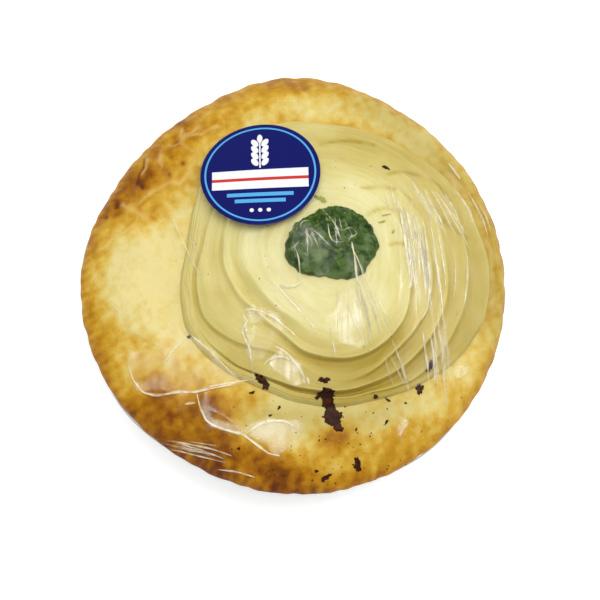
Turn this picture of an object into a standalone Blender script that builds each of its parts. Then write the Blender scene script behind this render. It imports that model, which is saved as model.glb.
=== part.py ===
"""A beef and potato pie for one, in its foil tin, wrapped in clear film with a round sticker on it.

The pie stands on the tin's base. X and Y are centred on the pie, Z = 0 is the surface it stands on.
Each piece is a stack of rings, from the middle of its underside, round its edge, to the middle of its top.
"""

import math

import bpy
import numpy as np

MM = 0.001
TURN = 2 * math.pi
GAP = 0.3 * MM  # between two pieces that touch

# The foil tin: a pressed cup with a pleated wall and a rolled rim
TIN_HEIGHT = 25 * MM
TIN_BASE_RADIUS = 51 * MM
TIN_FOIL = 0.5 * MM
TIN_FLANGE = 3.0 * MM
TIN_BEAD = 1.1 * MM
TIN_INSIDE_OUTLINE = 0.9 * MM  # how far the rim stays behind the pastry's edge
TIN_PEEPS = ((172, 1.3 * MM), (222, 1.2 * MM), (308, 1.2 * MM))  # angle in degrees and how far the rim shows
PLEATS = 48
PLEAT_DEPTH = 0.9 * MM
COLUMNS = 2 * PLEATS  # one column of points on each pleat's ridge and one in each valley

# The pastry: sizes round the pie are given every 30 degrees from +X, anticlockwise, in millimetres
PIE_OUTLINE = (67.5, 67.5, 67.6, 68.9, 64.9, 64.4, 67.4, 68.0, 67.7, 68.8, 68.6, 68.0)
SCALLOP = 0.28 * MM
EDGE_THICKNESS = 3.2 * MM
EDGE_ROUND = 3.5 * MM
LID_RISE = 6.8 * MM
LID_SHOULDER = 21 * MM  # how far in from the edge the lid levels off
RIM_ROLL = 1.5 * MM
CREVICE_DEPTH = 1.6 * MM
CREVICE_FACES = math.radians(40)
LID_STEPS = (0.05, 0.12, 0.21, 0.32, 0.45, 0.58, 0.71, 0.83, 0.93, 1.0)

# Blisters and hollows of the lid: X, Y, reach and height in millimetres
LID_RELIEF = (
    (-49, 8, 12, 1.0), (-40, 36, 8, 0.9), (-50, 24, 6, 0.8), (-28, 53, 8, 0.8), (-46, -24, 9, 0.9),
    (-24, -44, 9, 1.0), (-2, -51, 8, 0.8), (24, -52, 7, 0.7), (-37, -10, 7, -0.8), (-43, 18, 4, -0.9),
    (-38, -36, 6, -0.9), (-12, -46, 5, -0.7), (12, -47, 5, -0.6), (-33, 46, 4, -0.7), (-57, -8, 5, 0.5),
)

# The mashed potato, spread in overlapping turns of a knife about its own middle
MASH_MIDDLE = (10.2 * MM, 5.4 * MM)
MASH_OUTLINE = (51.0, 47.8, 44.2, 44.2, 47.0, 46.0, 44.6, 50.6, 48.2, 48.0, 48.9, 52.2)
MASH_CROWN = 49.0 * MM
MASH_EDGE = 2.4 * MM
MASH_SEAT = 31.0 * MM
# Each turn's lip: its radii every 30 degrees, its deepest step in millimetres, and the way it is deepest
MASH_LIPS = (
    ((43.2, 41.5, 40.0, 40.4, 43.0, 43.4, 43.0, 49.0, 46.6, 46.4, 47.3, 45.3), 1.3, 350),
    ((35.3, 35.0, 34.5, 35.0, 38.0, 40.8, 41.6, 47.6, 44.4, 44.1, 42.4, 39.5), 2.4, 275),
    ((30.3, 29.5, 28.0, 28.5, 32.0, 37.0, 39.6, 45.2, 42.0, 41.7, 37.5, 34.3), 1.8, 300),
    ((23.2, 21.5, 21.0, 22.0, 27.0, 31.5, 33.2, 33.0, 33.6, 35.2, 33.2, 27.5), 2.2, 275),
)
LIP_WIDTH = 0.7 * MM

# The mushy peas, a rough dollop on the crown of the mash
PEA_OUTLINE = (14.3, 13.2, 12.4, 11.8, 11.4, 12.8, 14.9, 15.6, 12.8, 11.8, 13.4, 13.4)
PEA_HEIGHT = 4.4 * MM
PEA_COLUMNS = COLUMNS // 2
PEA_LUMPS = 30
PEA_LUMP_RADIUS = 3.9 * MM

# The sticker, on the slope of the mash and over its edge
STICKER_MIDDLE = (-12.2 * MM, 28.6 * MM)
STICKER_RADIUS = 18.5 * MM
STICKER_THICKNESS = 0.4 * MM
STICKER_LIFT = 0.7 * MM
STICKER_FALL = (0.235, -0.285)  # the slope of its plane along X and Y
STICKER_SAG = 1.3 * MM  # how far its edge hangs below a flat disc along the slope
STICKER_COLUMNS = 56

# The film where it stands clear of the food, from under the rim down to the base, gathered at its foot
FILM_WALL = 0.3 * MM
FILM_GATHER = 0.5 * MM
FILM_TOP = TIN_HEIGHT - TIN_BEAD - 0.9 * MM
FILM_FOOT = 1.4 * MM


def clear_scene():
    for item in list(bpy.data.objects):
        bpy.data.objects.remove(item, do_unlink=True)


def around(sizes, angles):
    """Reads sizes given in millimetres at equal steps round the pie, on a smooth closed curve, in metres."""
    sizes = np.asarray(sizes) * MM
    steps = np.asarray(angles) / TURN * len(sizes)
    first = np.floor(steps).astype(int)
    t = steps - first
    before, start, end, after = (sizes[(first + shift) % len(sizes)] for shift in (-1, 0, 1, 2))
    bend = 2 * before - 5 * start + 4 * end - after
    twist = 3 * (start - end) + after - before
    return start + 0.5 * t * (end - before + t * (bend + t * twist))


def smoothstep(low, high, value):
    t = np.clip((value - low) / (high - low), 0, 1)
    return t * t * (3 - 2 * t)


def facing(angles, way, power=1.5):
    """1 on the side of the pie that faces the given way, falling to 0 on the other side."""
    return ((1 + np.cos(angles - way)) / 2) ** power


def ring(angles, radius, height, middle=(0, 0)):
    radius, height = np.broadcast_to(radius, angles.shape), np.broadcast_to(height, angles.shape)
    return np.stack((middle[0] + radius * np.cos(angles), middle[1] + radius * np.sin(angles), height), axis=1)


def ring_body(name, rings, material, closed_ends=True):
    """Makes one closed body from rings of points. Without closed ends the last ring joins the first."""
    columns = len(rings[0])
    points = [tuple(point) for loop in rings for point in loop]
    bands = len(rings) - 1 if closed_ends else len(rings)
    faces = []
    for band in range(bands):
        low, high = band * columns, (band + 1) % len(rings) * columns
        for column in range(columns):
            after = (column + 1) % columns
            faces.append((low + column, low + after, high + after, high + column))
    if closed_ends:
        bottom, top = len(points), len(points) + 1
        points += [tuple(np.mean(rings[0], axis=0)), tuple(np.mean(rings[-1], axis=0))]
        last = (len(rings) - 1) * columns
        for column in range(columns):
            after = (column + 1) % columns
            faces.append((bottom, after, column))
            faces.append((last + column, last + after, top))
    mesh = bpy.data.meshes.new(name)
    mesh.from_pydata(points, [], faces)
    mesh.materials.append(material)
    mesh.shade_smooth()
    mesh.set_sharp_from_angle(angle=math.radians(40))
    body = bpy.data.objects.new(name, mesh)
    bpy.context.scene.collection.objects.link(body)
    return body


def finish(name, colour, roughness, metallic=0.0):
    material = bpy.data.materials.new(name)
    material.use_nodes = True
    shader = material.node_tree.nodes["Principled BSDF"]
    shader.inputs["Base Color"].default_value = (*colour, 1)
    shader.inputs["Roughness"].default_value = roughness
    shader.inputs["Metallic"].default_value = metallic
    return material


ANGLES = np.arange(COLUMNS) / COLUMNS * TURN
PLEAT_SIDE = np.where(np.arange(COLUMNS) % 2 == 0, 1.0, -1.0)


def tin_rim_radius():
    """The rim follows the pastry's edge just behind it, and shows past it at a few places."""
    radius = around(PIE_OUTLINE, ANGLES) - TIN_INSIDE_OUTLINE
    for degrees, peep in TIN_PEEPS:
        radius = radius + peep * facing(ANGLES, math.radians(degrees), 60)
    return radius


def tin_wall_radius(height, inset=0.0):
    """The pleated wall at a height: a cone whose pleats deepen from the base to the flange."""
    share = height / TIN_HEIGHT
    top = tin_rim_radius() - TIN_FLANGE
    pleat = PLEAT_DEPTH / 2 * smoothstep(0.02, 0.5, share) * PLEAT_SIDE
    return TIN_BASE_RADIUS + (top - TIN_BASE_RADIUS) * share + pleat - inset


def make_tin(material):
    rim = tin_rim_radius()
    flange = TIN_HEIGHT - TIN_BEAD * 0.75
    knee = 3 * MM
    rings = [
        ring(ANGLES, TIN_BASE_RADIUS - 1.2 * MM, 0),
        ring(ANGLES, tin_wall_radius(0.8 * MM), 0.8 * MM),
        ring(ANGLES, tin_wall_radius(12 * MM), 12 * MM),
        ring(ANGLES, tin_wall_radius(flange), flange),
        ring(ANGLES, rim - TIN_BEAD, flange),
        ring(ANGLES, rim - 0.3 * MM, TIN_HEIGHT - TIN_BEAD),
        ring(ANGLES, rim, TIN_HEIGHT - 0.5 * TIN_BEAD),
        ring(ANGLES, rim - 0.4 * MM, TIN_HEIGHT),
        ring(ANGLES, rim - TIN_BEAD, TIN_HEIGHT - 0.2 * MM),
        ring(ANGLES, tin_wall_radius(flange, TIN_FOIL), TIN_HEIGHT - 0.25 * MM),
        ring(ANGLES, tin_wall_radius(12 * MM, TIN_FOIL), 12 * MM),
        ring(ANGLES, tin_wall_radius(knee, TIN_FOIL), knee),
        ring(ANGLES, TIN_BASE_RADIUS - 1.8 * MM, TIN_FOIL),
    ]
    return ring_body("foil_tin", rings, material)


def pie_outline():
    """The pastry's edge, with the scallops that the tin's pleats press into it."""
    return around(PIE_OUTLINE, ANGLES) + SCALLOP * PLEAT_SIDE


def lid_points(share):
    """Points a share of the way from the pastry's edge to the foot of the mash, with their distance in."""
    edge = ring(ANGLES, pie_outline(), 0)
    foot = ring(ANGLES, around(MASH_OUTLINE, ANGLES) + GAP, 0, MASH_MIDDLE)
    width = np.hypot(*(foot - edge)[:, :2].T)
    return edge + (foot - edge) * share, width * share, width


def lid_height(share):
    """The lid's height: a low pillow, a rolled rim and a crevice where the mash comes close to the rim."""
    points, inwards, width = lid_points(share)
    in_share = np.clip(inwards / LID_SHOULDER, 0, 1)
    nose = np.sqrt(1 - (1 - np.clip(inwards / EDGE_ROUND, 0, 1)) ** 2)
    height = TIN_HEIGHT + GAP + EDGE_THICKNESS * (0.55 + 0.45 * nose) + LID_RISE * (1 - (1 - in_share) ** 2)
    near = facing(ANGLES, CREVICE_FACES, 1.0) ** 2
    height += RIM_ROLL * near * np.sin(math.pi * np.clip(share / 0.75, 0, 1)) ** 2
    height -= CREVICE_DEPTH * near * smoothstep(0.5, 1.0, share)
    swell = smoothstep(0, 5 * MM, inwards) * smoothstep(1.0, 0.75, share)
    for x, y, reach, rise in LID_RELIEF:
        away = np.hypot(points[:, 0] - x * MM, points[:, 1] - y * MM) / (reach * MM)
        height += rise * MM * swell * np.exp(-away ** 2)
    return height


def mash_foot():
    return lid_height(1.0)


def lid_ring(share):
    points = lid_points(share)[0]
    points[:, 2] = lid_height(share)
    return points


def seat_ring(share, drop, gap=0.0):
    """A ring of the shallow seat that the mash lies in."""
    height = MASH_SEAT + (mash_foot() - drop - MASH_SEAT) * smoothstep(0.2, 0.93, share)
    return ring(ANGLES, around(MASH_OUTLINE, ANGLES) * share, height + gap, MASH_MIDDLE)


def make_crust(material):
    edge = pie_outline()
    under = TIN_HEIGHT + GAP
    fit = TIN_FOIL + GAP
    seat = TIN_FOIL + GAP
    rings = [
        ring(ANGLES, TIN_BASE_RADIUS - 2.4 * MM, seat),
        ring(ANGLES, tin_wall_radius(3.4 * MM, fit + 0.3 * MM), 3.4 * MM),
        ring(ANGLES, tin_wall_radius(12 * MM, fit), 12 * MM),
        ring(ANGLES, tin_wall_radius(TIN_HEIGHT - 0.9 * MM, fit + 0.1 * MM), TIN_HEIGHT - 0.2 * MM),
        ring(ANGLES, tin_wall_radius(TIN_HEIGHT - 0.9 * MM, fit - 0.4 * MM), under),
        ring(ANGLES, edge - 1.6 * MM, under),
        ring(ANGLES, edge - 0.5 * MM, under + 0.22 * EDGE_THICKNESS),
    ]
    rings += [lid_ring(share) for share in (0.0, 0.012, *LID_STEPS)]
    rings += [seat_ring(0.93, 1.2 * MM), seat_ring(0.55, 1.2 * MM), seat_ring(0.2, 1.2 * MM)]
    return ring_body("pie_crust", rings, material)


def mash_crest(share):
    """The height that the lips reach, from the mash's edge up to its crown."""
    edge = mash_foot() + MASH_EDGE
    return edge + (MASH_CROWN - edge) * (1 - share ** 1.8)


def mash_lips():
    """Each lip's radii and step heights, from the outermost in."""
    outline = around(MASH_OUTLINE, ANGLES)
    for sizes, deepest, way in MASH_LIPS:
        radii = np.minimum(around(sizes, ANGLES), outline - 1.6 * MM)
        yield radii, deepest * MM * (0.22 + 0.78 * facing(ANGLES, math.radians(way)))


def mash_surface_rings():
    """The mash's top: each turn is level or rises a little towards its lip, then steps down to the next."""
    outline = around(MASH_OUTLINE, ANGLES)
    rings = []
    outer = outline - 0.8 * MM
    for radii, step in mash_lips():
        foot = radii + LIP_WIDTH
        for share in (0.0, 0.5):
            if share == 0.0 and not rings:
                continue
            radius = outer + (foot - outer) * share
            rings.append(ring(ANGLES, radius, mash_crest(radius / outline) - step * share, MASH_MIDDLE))
        rings.append(ring(ANGLES, foot, mash_crest(radii / outline) - step, MASH_MIDDLE))
        outer = radii
    rings.append(ring(ANGLES, outer, mash_crest(outer / outline), MASH_MIDDLE))
    for radius in (18 * MM, 12 * MM, 6 * MM):
        rings.append(ring(ANGLES, radius, mash_crest(radius / outline), MASH_MIDDLE))
    return rings


def make_mash(material):
    outline = around(MASH_OUTLINE, ANGLES)
    foot = mash_foot()
    rings = [seat_ring(share, 1.2 * MM, GAP) for share in (0.2, 0.55, 0.93)]
    rings += [
        ring(ANGLES, outline - 0.7 * MM, foot + GAP, MASH_MIDDLE),
        ring(ANGLES, outline, foot + 0.45 * MASH_EDGE, MASH_MIDDLE),
        ring(ANGLES, outline - 0.8 * MM, foot + MASH_EDGE, MASH_MIDDLE),
    ]
    return ring_body("mashed_potato", rings + mash_surface_rings(), material)


def make_peas(material):
    """A rough heap of crushed peas: a low dome raised by lumps whose places are drawn with a fixed seed."""
    angles = np.arange(PEA_COLUMNS) / PEA_COLUMNS * TURN
    outline = around(PEA_OUTLINE, angles)
    every = COLUMNS // PEA_COLUMNS
    mash_outline = around(MASH_OUTLINE, angles)
    edge = (mash_foot() + MASH_EDGE)[::every]
    draw = np.random.default_rng(7)
    lump_angle = draw.uniform(0, TURN, PEA_LUMPS)
    lump_radius = np.sqrt(draw.uniform(0.02, 0.85, PEA_LUMPS)) * around(PEA_OUTLINE, lump_angle)
    lump_rise = draw.uniform(0.5, 1.0, PEA_LUMPS)

    def mash_under(radius):
        return edge + (MASH_CROWN - edge) * (1 - (radius / mash_outline) ** 1.8)

    def heap(radius):
        x, y = radius * np.cos(angles), radius * np.sin(angles)
        lumps = np.zeros_like(x)
        for a, r, rise in zip(lump_angle, lump_radius, lump_rise):
            away = np.hypot(x - r * math.cos(a), y - r * math.sin(a)) / PEA_LUMP_RADIUS
            lumps = np.maximum(lumps, rise * np.clip(1 - away ** 2, 0, 1))
        dome = np.sqrt(np.clip(1 - (radius / outline) ** 2, 0, 1))
        return PEA_HEIGHT * (0.55 * dome + 0.45 * lumps * smoothstep(0, 0.6, dome))

    under = 1.6 * GAP
    rings = []
    for share in (0.35, 0.7, 0.97):
        rings.append(ring(angles, outline * share, mash_under(outline * share) + under, MASH_MIDDLE))
    for share in (1.0, 0.95, 0.87, 0.77, 0.65, 0.52, 0.38, 0.24, 0.1):
        radius = outline * share
        height = mash_under(radius) + under + 0.7 * MM + heap(radius)
        rings.append(ring(angles, radius, height, MASH_MIDDLE))
    return ring_body("mushy_peas", rings, material)


def food_height(x, y):
    """The highest point of the crust and mash over a place, read from their lips and lid in closed form."""
    from_mash = np.hypot(x - MASH_MIDDLE[0], y - MASH_MIDDLE[1])
    angle = np.arctan2(y - MASH_MIDDLE[1], x - MASH_MIDDLE[0]) % TURN
    outline = around(MASH_OUTLINE, angle)
    edge = np.interp(angle, ANGLES, mash_foot() + MASH_EDGE, period=TURN)
    share = np.clip(from_mash / outline, 0, 1)
    mash = edge + (MASH_CROWN - edge) * (1 - share ** 1.8)
    return np.where(from_mash < outline + 0.5 * MM, mash, edge - MASH_EDGE + 1.0 * MM)


def make_sticker(material):
    """A thin disc that lies along the slope and bends down a little at its two ends."""
    angles = np.arange(STICKER_COLUMNS) / STICKER_COLUMNS * TURN
    shares = (0.3, 0.6, 0.85, 1.0)
    slope = math.hypot(*STICKER_FALL)
    down = (STICKER_FALL[0] / slope, STICKER_FALL[1] / slope)

    def sheet(share):
        x, y = STICKER_RADIUS * share * np.cos(angles), STICKER_RADIUS * share * np.sin(angles)
        along = (x * down[0] + y * down[1]) / STICKER_RADIUS
        height = STICKER_FALL[0] * x + STICKER_FALL[1] * y - STICKER_SAG * along ** 2
        return x + STICKER_MIDDLE[0], y + STICKER_MIDDLE[1], height

    lift = STICKER_LIFT + max(np.max(food_height(x, y) - z) for x, y, z in map(sheet, shares))
    rings = [np.stack((x, y, z + lift), axis=1) for x, y, z in map(sheet, shares)]
    rings += [np.stack((x, y, z + lift + STICKER_THICKNESS), axis=1) for x, y, z in map(sheet, shares[::-1])]
    return ring_body("sticker", rings, material)


def make_film_skirt(material):
    """The film over the tin's pleats, a thin cone open at its top and bottom."""
    top = tin_rim_radius() - 0.5 * MM
    foot = TIN_BASE_RADIUS + 1.9 * MM + FILM_GATHER * PLEAT_SIDE
    middle_height = (FILM_TOP + FILM_FOOT) / 2
    middle = (top + foot) / 2
    rings = [
        ring(ANGLES, foot, FILM_FOOT),
        ring(ANGLES, middle, middle_height),
        ring(ANGLES, top, FILM_TOP),
        ring(ANGLES, top - FILM_WALL, FILM_TOP),
        ring(ANGLES, middle - FILM_WALL, middle_height),
        ring(ANGLES, foot - FILM_WALL, FILM_FOOT),
    ]
    return ring_body("film_wrap", rings, material, closed_ends=False)


def main():
    clear_scene()
    make_tin(finish("foil", (0.62, 0.60, 0.60), 0.32, 1.0))
    make_crust(finish("baked_pastry", (0.62, 0.36, 0.10), 0.5))
    make_mash(finish("mashed_potato", (0.78, 0.68, 0.36), 0.55))
    make_peas(finish("mushy_peas", (0.05, 0.13, 0.02), 0.5))
    make_sticker(finish("sticker_paper", (0.02, 0.03, 0.25), 0.3))
    make_film_skirt(finish("clear_film", (0.9, 0.92, 0.95), 0.1))


main()
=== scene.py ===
"""The looks of a beef and potato pie for one, in its foil tin, under clear film with a round sticker on it."""

import math

import bpy
import numpy as np
from mathutils import Matrix, Vector
from mathutils.bvhtree import BVHTree


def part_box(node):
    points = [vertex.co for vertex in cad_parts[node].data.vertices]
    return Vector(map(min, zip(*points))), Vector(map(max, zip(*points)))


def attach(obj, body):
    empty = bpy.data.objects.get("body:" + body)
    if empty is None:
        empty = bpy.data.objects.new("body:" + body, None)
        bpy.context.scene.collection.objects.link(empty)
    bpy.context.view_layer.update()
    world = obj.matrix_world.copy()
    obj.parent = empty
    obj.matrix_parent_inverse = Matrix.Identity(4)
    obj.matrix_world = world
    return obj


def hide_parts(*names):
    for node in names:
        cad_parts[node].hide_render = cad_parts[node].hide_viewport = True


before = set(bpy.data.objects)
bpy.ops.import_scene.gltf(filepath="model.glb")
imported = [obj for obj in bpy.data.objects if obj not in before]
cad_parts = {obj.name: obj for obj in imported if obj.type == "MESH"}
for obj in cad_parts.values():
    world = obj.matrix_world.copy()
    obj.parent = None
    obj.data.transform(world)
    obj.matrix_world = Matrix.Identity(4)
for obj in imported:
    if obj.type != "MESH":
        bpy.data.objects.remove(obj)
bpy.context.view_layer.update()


# The foil tin is drawn from one sheet of soft aluminium foil: the wall is folded into pleats as it is pulled up,
# the rim is rolled over into a bead, and a step pressed into the base lets the tin stand on a ring.
MM = 0.001
TURN = 2 * math.pi
TIN_HEIGHT = 25 * MM
TIN_BASE_RADIUS = 51 * MM
TIN_FLANGE = 3.0 * MM
TIN_BEAD_RADIUS = 0.55 * MM
TIN_INSIDE_OUTLINE = 0.9 * MM
TIN_PEEPS = ((172, 1.3 * MM), (222, 1.2 * MM), (308, 1.2 * MM))
PLEATS = 48
PLEAT_DEPTH = 1.0 * MM
FOIL_THICKNESS = 0.15 * MM
PIE_OUTLINE = (67.5, 67.5, 67.6, 68.9, 64.9, 64.4, 67.4, 68.0, 67.7, 68.8, 68.6, 68.0)


def around(sizes, angles):
    """Reads sizes given at equal steps round the pie, anticlockwise from +X, on a smooth closed curve."""
    sizes = np.asarray(sizes, float)
    steps = np.asarray(angles) / TURN * len(sizes)
    first = np.floor(steps).astype(int)
    t = steps - first
    before, start, end, after = (sizes[(first + shift) % len(sizes)] for shift in (-1, 0, 1, 2))
    bend = 2 * before - 5 * start + 4 * end - after
    twist = 3 * (start - end) + after - before
    return start + 0.5 * t * (end - before + t * (bend + t * twist))


def smoothstep(low, high, value):
    """0 below the first value, 1 above the second, and a soft rise between them."""
    t = np.clip((value - low) / (high - low), 0, 1)
    return t * t * (3 - 2 * t)


def facing(angles, way, power):
    """1 on the side of the pie that faces the given way, falling to 0 on the other side."""
    return ((1 + np.cos(angles - way)) / 2) ** power


def ring(angles, radius, height, middle=(0, 0)):
    """A closed ring of points, with one radius and height for all or one for each."""
    radius, height = np.broadcast_to(radius, angles.shape), np.broadcast_to(height, angles.shape)
    return np.stack((middle[0] + radius * np.cos(angles), middle[1] + radius * np.sin(angles), height), axis=1)


def columns_of(count):
    return np.arange(count) / count * TURN


def put_in_scene(name, data):
    """Gives a mesh, a light or the camera its object."""
    made = bpy.data.objects.new(name, data)
    bpy.context.scene.collection.objects.link(made)
    return made


def smooth_piece(name, points, faces):
    mesh = bpy.data.meshes.new(name)
    mesh.from_pydata(points, [], faces)
    mesh.shade_smooth()
    return put_in_scene(name, mesh)


def ring_piece(name, rings, start_cap=True, end_cap=True):
    """Skins rings of points that run from the middle of the underside, round the edge, to the middle of the top."""
    columns = len(rings[0])
    points = np.concatenate(rings)
    column = np.arange(columns)
    after = (column + 1) % columns
    faces = []
    for band in range(len(rings) - 1):
        low, high = band * columns, (band + 1) * columns
        faces.append(np.stack((low + column, low + after, high + after, high + column), axis=1))
    faces = np.concatenate(faces).tolist()
    edges = list(zip(column.tolist(), after.tolist()))
    if start_cap:
        faces += [(len(points), b, a) for a, b in edges]
        points = np.vstack((points, rings[0].mean(axis=0)))
    if end_cap:
        last = (len(rings) - 1) * columns
        faces += [(last + a, last + b, len(points)) for a, b in edges]
        points = np.vstack((points, rings[-1].mean(axis=0)))
    return smooth_piece(name, points.tolist(), faces)


def keep_attribute(piece, name, rings_of_values):
    """Stores one value a point, given ring by ring. A cap's middle takes the mean of the ring beside it."""
    values = np.concatenate(rings_of_values)
    spare = len(piece.data.vertices) - len(values)
    ends = [rings_of_values[0].mean(), rings_of_values[-1].mean()][-spare:] if spare else []
    attribute = piece.data.attributes.new(name, "FLOAT", "POINT")
    attribute.data.foreach_set("value", np.concatenate((values, ends)).astype(np.float32))


def fill_inputs(tree, node, inputs):
    """Gives each input its value or its link. A node given as a value stands for its first output."""
    for key, value in inputs.items():
        if isinstance(value, bpy.types.Node):
            value = value.outputs[0]
        if isinstance(value, bpy.types.NodeSocket):
            tree.links.new(value, node.inputs[key])
        else:
            node.inputs[key].default_value = value


def add_node(tree, kind, inputs=None, **settings):
    """Adds a node with its settings, its values and its links."""
    made = tree.nodes.new(kind)
    for name, value in settings.items():
        setattr(made, name, value)
    fill_inputs(tree, made, inputs or {})
    return made


def colour(hex_code):
    """Turns an sRGB hex value into the linear colour that the shaders take."""
    parts = [int(hex_code[i:i + 2], 16) / 255 for i in (1, 3, 5)]
    return (*[p / 12.92 if p <= 0.04045 else ((p + 0.055) / 1.055) ** 2.4 for p in parts], 1)


def new_finish(name):
    """Starts a material and gives its tree and its Principled shader."""
    material = bpy.data.materials.new(name)
    material.use_nodes = True
    return material, material.node_tree, material.node_tree.nodes["Principled BSDF"]


def thicken(sheet, thickness):
    """Gives a sheet its thickness, on the inner side."""
    wall = sheet.modifiers.new("wall", "SOLIDIFY")
    wall.thickness = thickness
    wall.offset = -1


def shape_with(piece, tree, sizes):
    """Puts a Geometry Nodes tree on a piece, with each input set by its socket's identifier."""
    modifier = piece.modifiers.new(tree.name, "NODES")
    modifier.node_group = tree
    for item in tree.interface.items_tree:
        if item.item_type == "SOCKET" and item.in_out == "INPUT" and item.name in sizes:
            modifier[item.identifier] = sizes[item.name]


def settle(piece, name):
    """Turns a piece with modifiers into a plain mesh of its own, and removes the first one."""
    graph = bpy.context.evaluated_depsgraph_get()
    mesh = bpy.data.meshes.new_from_object(piece.evaluated_get(graph), depsgraph=graph)
    mesh.name = name
    bpy.data.objects.remove(piece, do_unlink=True)
    return put_in_scene(name, mesh)


def new_shape_tree(name, sizes):
    """Starts a Geometry Nodes tree with a geometry in and out and one named input for each size."""
    tree = bpy.data.node_groups.new(name, "GeometryNodeTree")
    tree.interface.new_socket("Geometry", in_out="INPUT", socket_type="NodeSocketGeometry")
    for size, kind in sizes.items():
        tree.interface.new_socket(size, in_out="INPUT", socket_type=kind)
    tree.interface.new_socket("Geometry", in_out="OUTPUT", socket_type="NodeSocketGeometry")
    return tree, add_node(tree, "NodeGroupInput")


def end_shape_tree(tree, shape, material):
    """Ends a tree: its instances are made real and take their material."""
    real = add_node(tree, "GeometryNodeRealizeInstances", {"Geometry": shape})
    dressed = add_node(tree, "GeometryNodeSetMaterial", {"Geometry": real, "Material": material})
    add_node(tree, "NodeGroupOutput", {"Geometry": dressed})
    return tree


def tin_rim_radius(angles):
    """The rolled rim lies just inside the pastry's edge and peeps out from under it in a few places."""
    radius = around(PIE_OUTLINE, angles) * MM - TIN_INSIDE_OUTLINE
    for degrees, peep in TIN_PEEPS:
        radius = radius + peep * facing(angles, math.radians(degrees), 60)
    return radius


def tin_profile(angles):
    """The foil's outer face from the middle of the base to the end of the rolled rim, with each ring's wall share."""
    rim = tin_rim_radius(angles)
    stand = 0.25 * MM
    panel = 0.42 * MM
    flange = TIN_HEIGHT - 2 * TIN_BEAD_RADIUS + 0.35 * MM
    rows = [(0.3 * TIN_BASE_RADIUS, panel, 0), (0.6 * TIN_BASE_RADIUS, panel, 0), (0.78 * TIN_BASE_RADIUS, panel, 0),
            (0.795 * TIN_BASE_RADIUS, stand, 0), (0.88 * TIN_BASE_RADIUS, stand, 0),
            (TIN_BASE_RADIUS - 1.8 * MM, stand, 0), (TIN_BASE_RADIUS - 0.8 * MM, stand + 0.15 * MM, 0),
            (TIN_BASE_RADIUS - 0.1 * MM, stand + 0.6 * MM, 0.02)]
    for share in np.linspace(0.06, 0.94, 20):
        wall = TIN_BASE_RADIUS + (rim - TIN_FLANGE - TIN_BASE_RADIUS) * share
        rows.append((wall, TIN_HEIGHT * share, share))
    rows.append((rim - TIN_FLANGE - 0.1 * MM, flange - 0.4 * MM, 0.7))
    rows.append((rim - TIN_FLANGE + 0.4 * MM, flange, 0.35))
    rows.append((rim - 2 * TIN_BEAD_RADIUS, flange, 0.1))
    for turn in np.linspace(140, -150, 9):
        a = math.radians(turn)
        across = rim - TIN_BEAD_RADIUS + TIN_BEAD_RADIUS * math.cos(a)
        rows.append((across, TIN_HEIGHT - TIN_BEAD_RADIUS + TIN_BEAD_RADIUS * math.sin(a), 0))
    rings = [ring(angles, radius, height) for radius, height, _ in rows]
    return rings, [np.full(len(angles), share, float) for _, _, share in rows]


def pleat_tree(material):
    """Pushes the wall in and out along its radius in folds, each a little deeper or shallower than the next."""
    tree, entry = new_shape_tree("pleats", {
        "Pleats": "NodeSocketFloat", "Depth": "NodeSocketFloat", "Unevenness": "NodeSocketFloat",
        "Seed": "NodeSocketInt"})
    angle = add_node(tree, "GeometryNodeInputNamedAttribute", {"Name": "turn"}, data_type="FLOAT")
    share = add_node(tree, "GeometryNodeInputNamedAttribute", {"Name": "wall_share"}, data_type="FLOAT")
    along = add_node(tree, "ShaderNodeMath", {0: angle, 1: entry.outputs["Pleats"]}, operation="MULTIPLY")
    fold = add_node(tree, "ShaderNodeMath", {0: along}, operation="FRACT")
    side = add_node(tree, "ShaderNodeMath", {0: fold, 1: 0.5}, operation="SUBTRACT")
    side = add_node(tree, "ShaderNodeMath", {0: side}, operation="ABSOLUTE")
    wave = add_node(tree, "ShaderNodeMath", {0: side, 1: 4.0, 2: -1.0}, operation="MULTIPLY_ADD")
    number = add_node(tree, "ShaderNodeMath", {0: along}, operation="ROUND")
    chance = add_node(tree, "FunctionNodeRandomValue", {
        2: -1.0, "ID": number, "Seed": entry.outputs["Seed"]}, data_type="FLOAT")
    uneven = add_node(tree, "ShaderNodeMath", {
        0: chance.outputs[1], 1: entry.outputs["Unevenness"], 2: 1.0}, operation="MULTIPLY_ADD")
    rise = add_node(tree, "ShaderNodeMapRange", {
        "Value": share, "From Min": 0.02, "From Max": 0.5, "To Max": 0.5}, interpolation_type="SMOOTHSTEP")
    depth = rise
    for factor in (entry.outputs["Depth"], wave, uneven):
        depth = add_node(tree, "ShaderNodeMath", {0: depth, 1: factor}, operation="MULTIPLY")
    place = add_node(tree, "GeometryNodeInputPosition")
    flat = add_node(tree, "ShaderNodeVectorMath", {0: place, 1: (1, 1, 0)}, operation="MULTIPLY")
    out = add_node(tree, "ShaderNodeVectorMath", {0: flat}, operation="NORMALIZE")
    push = add_node(tree, "ShaderNodeVectorMath", {0: out, "Scale": depth}, operation="SCALE")
    moved = add_node(tree, "GeometryNodeSetPosition", {
        "Geometry": entry.outputs["Geometry"], "Offset": push})
    return end_shape_tree(tree, moved, material)


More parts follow.
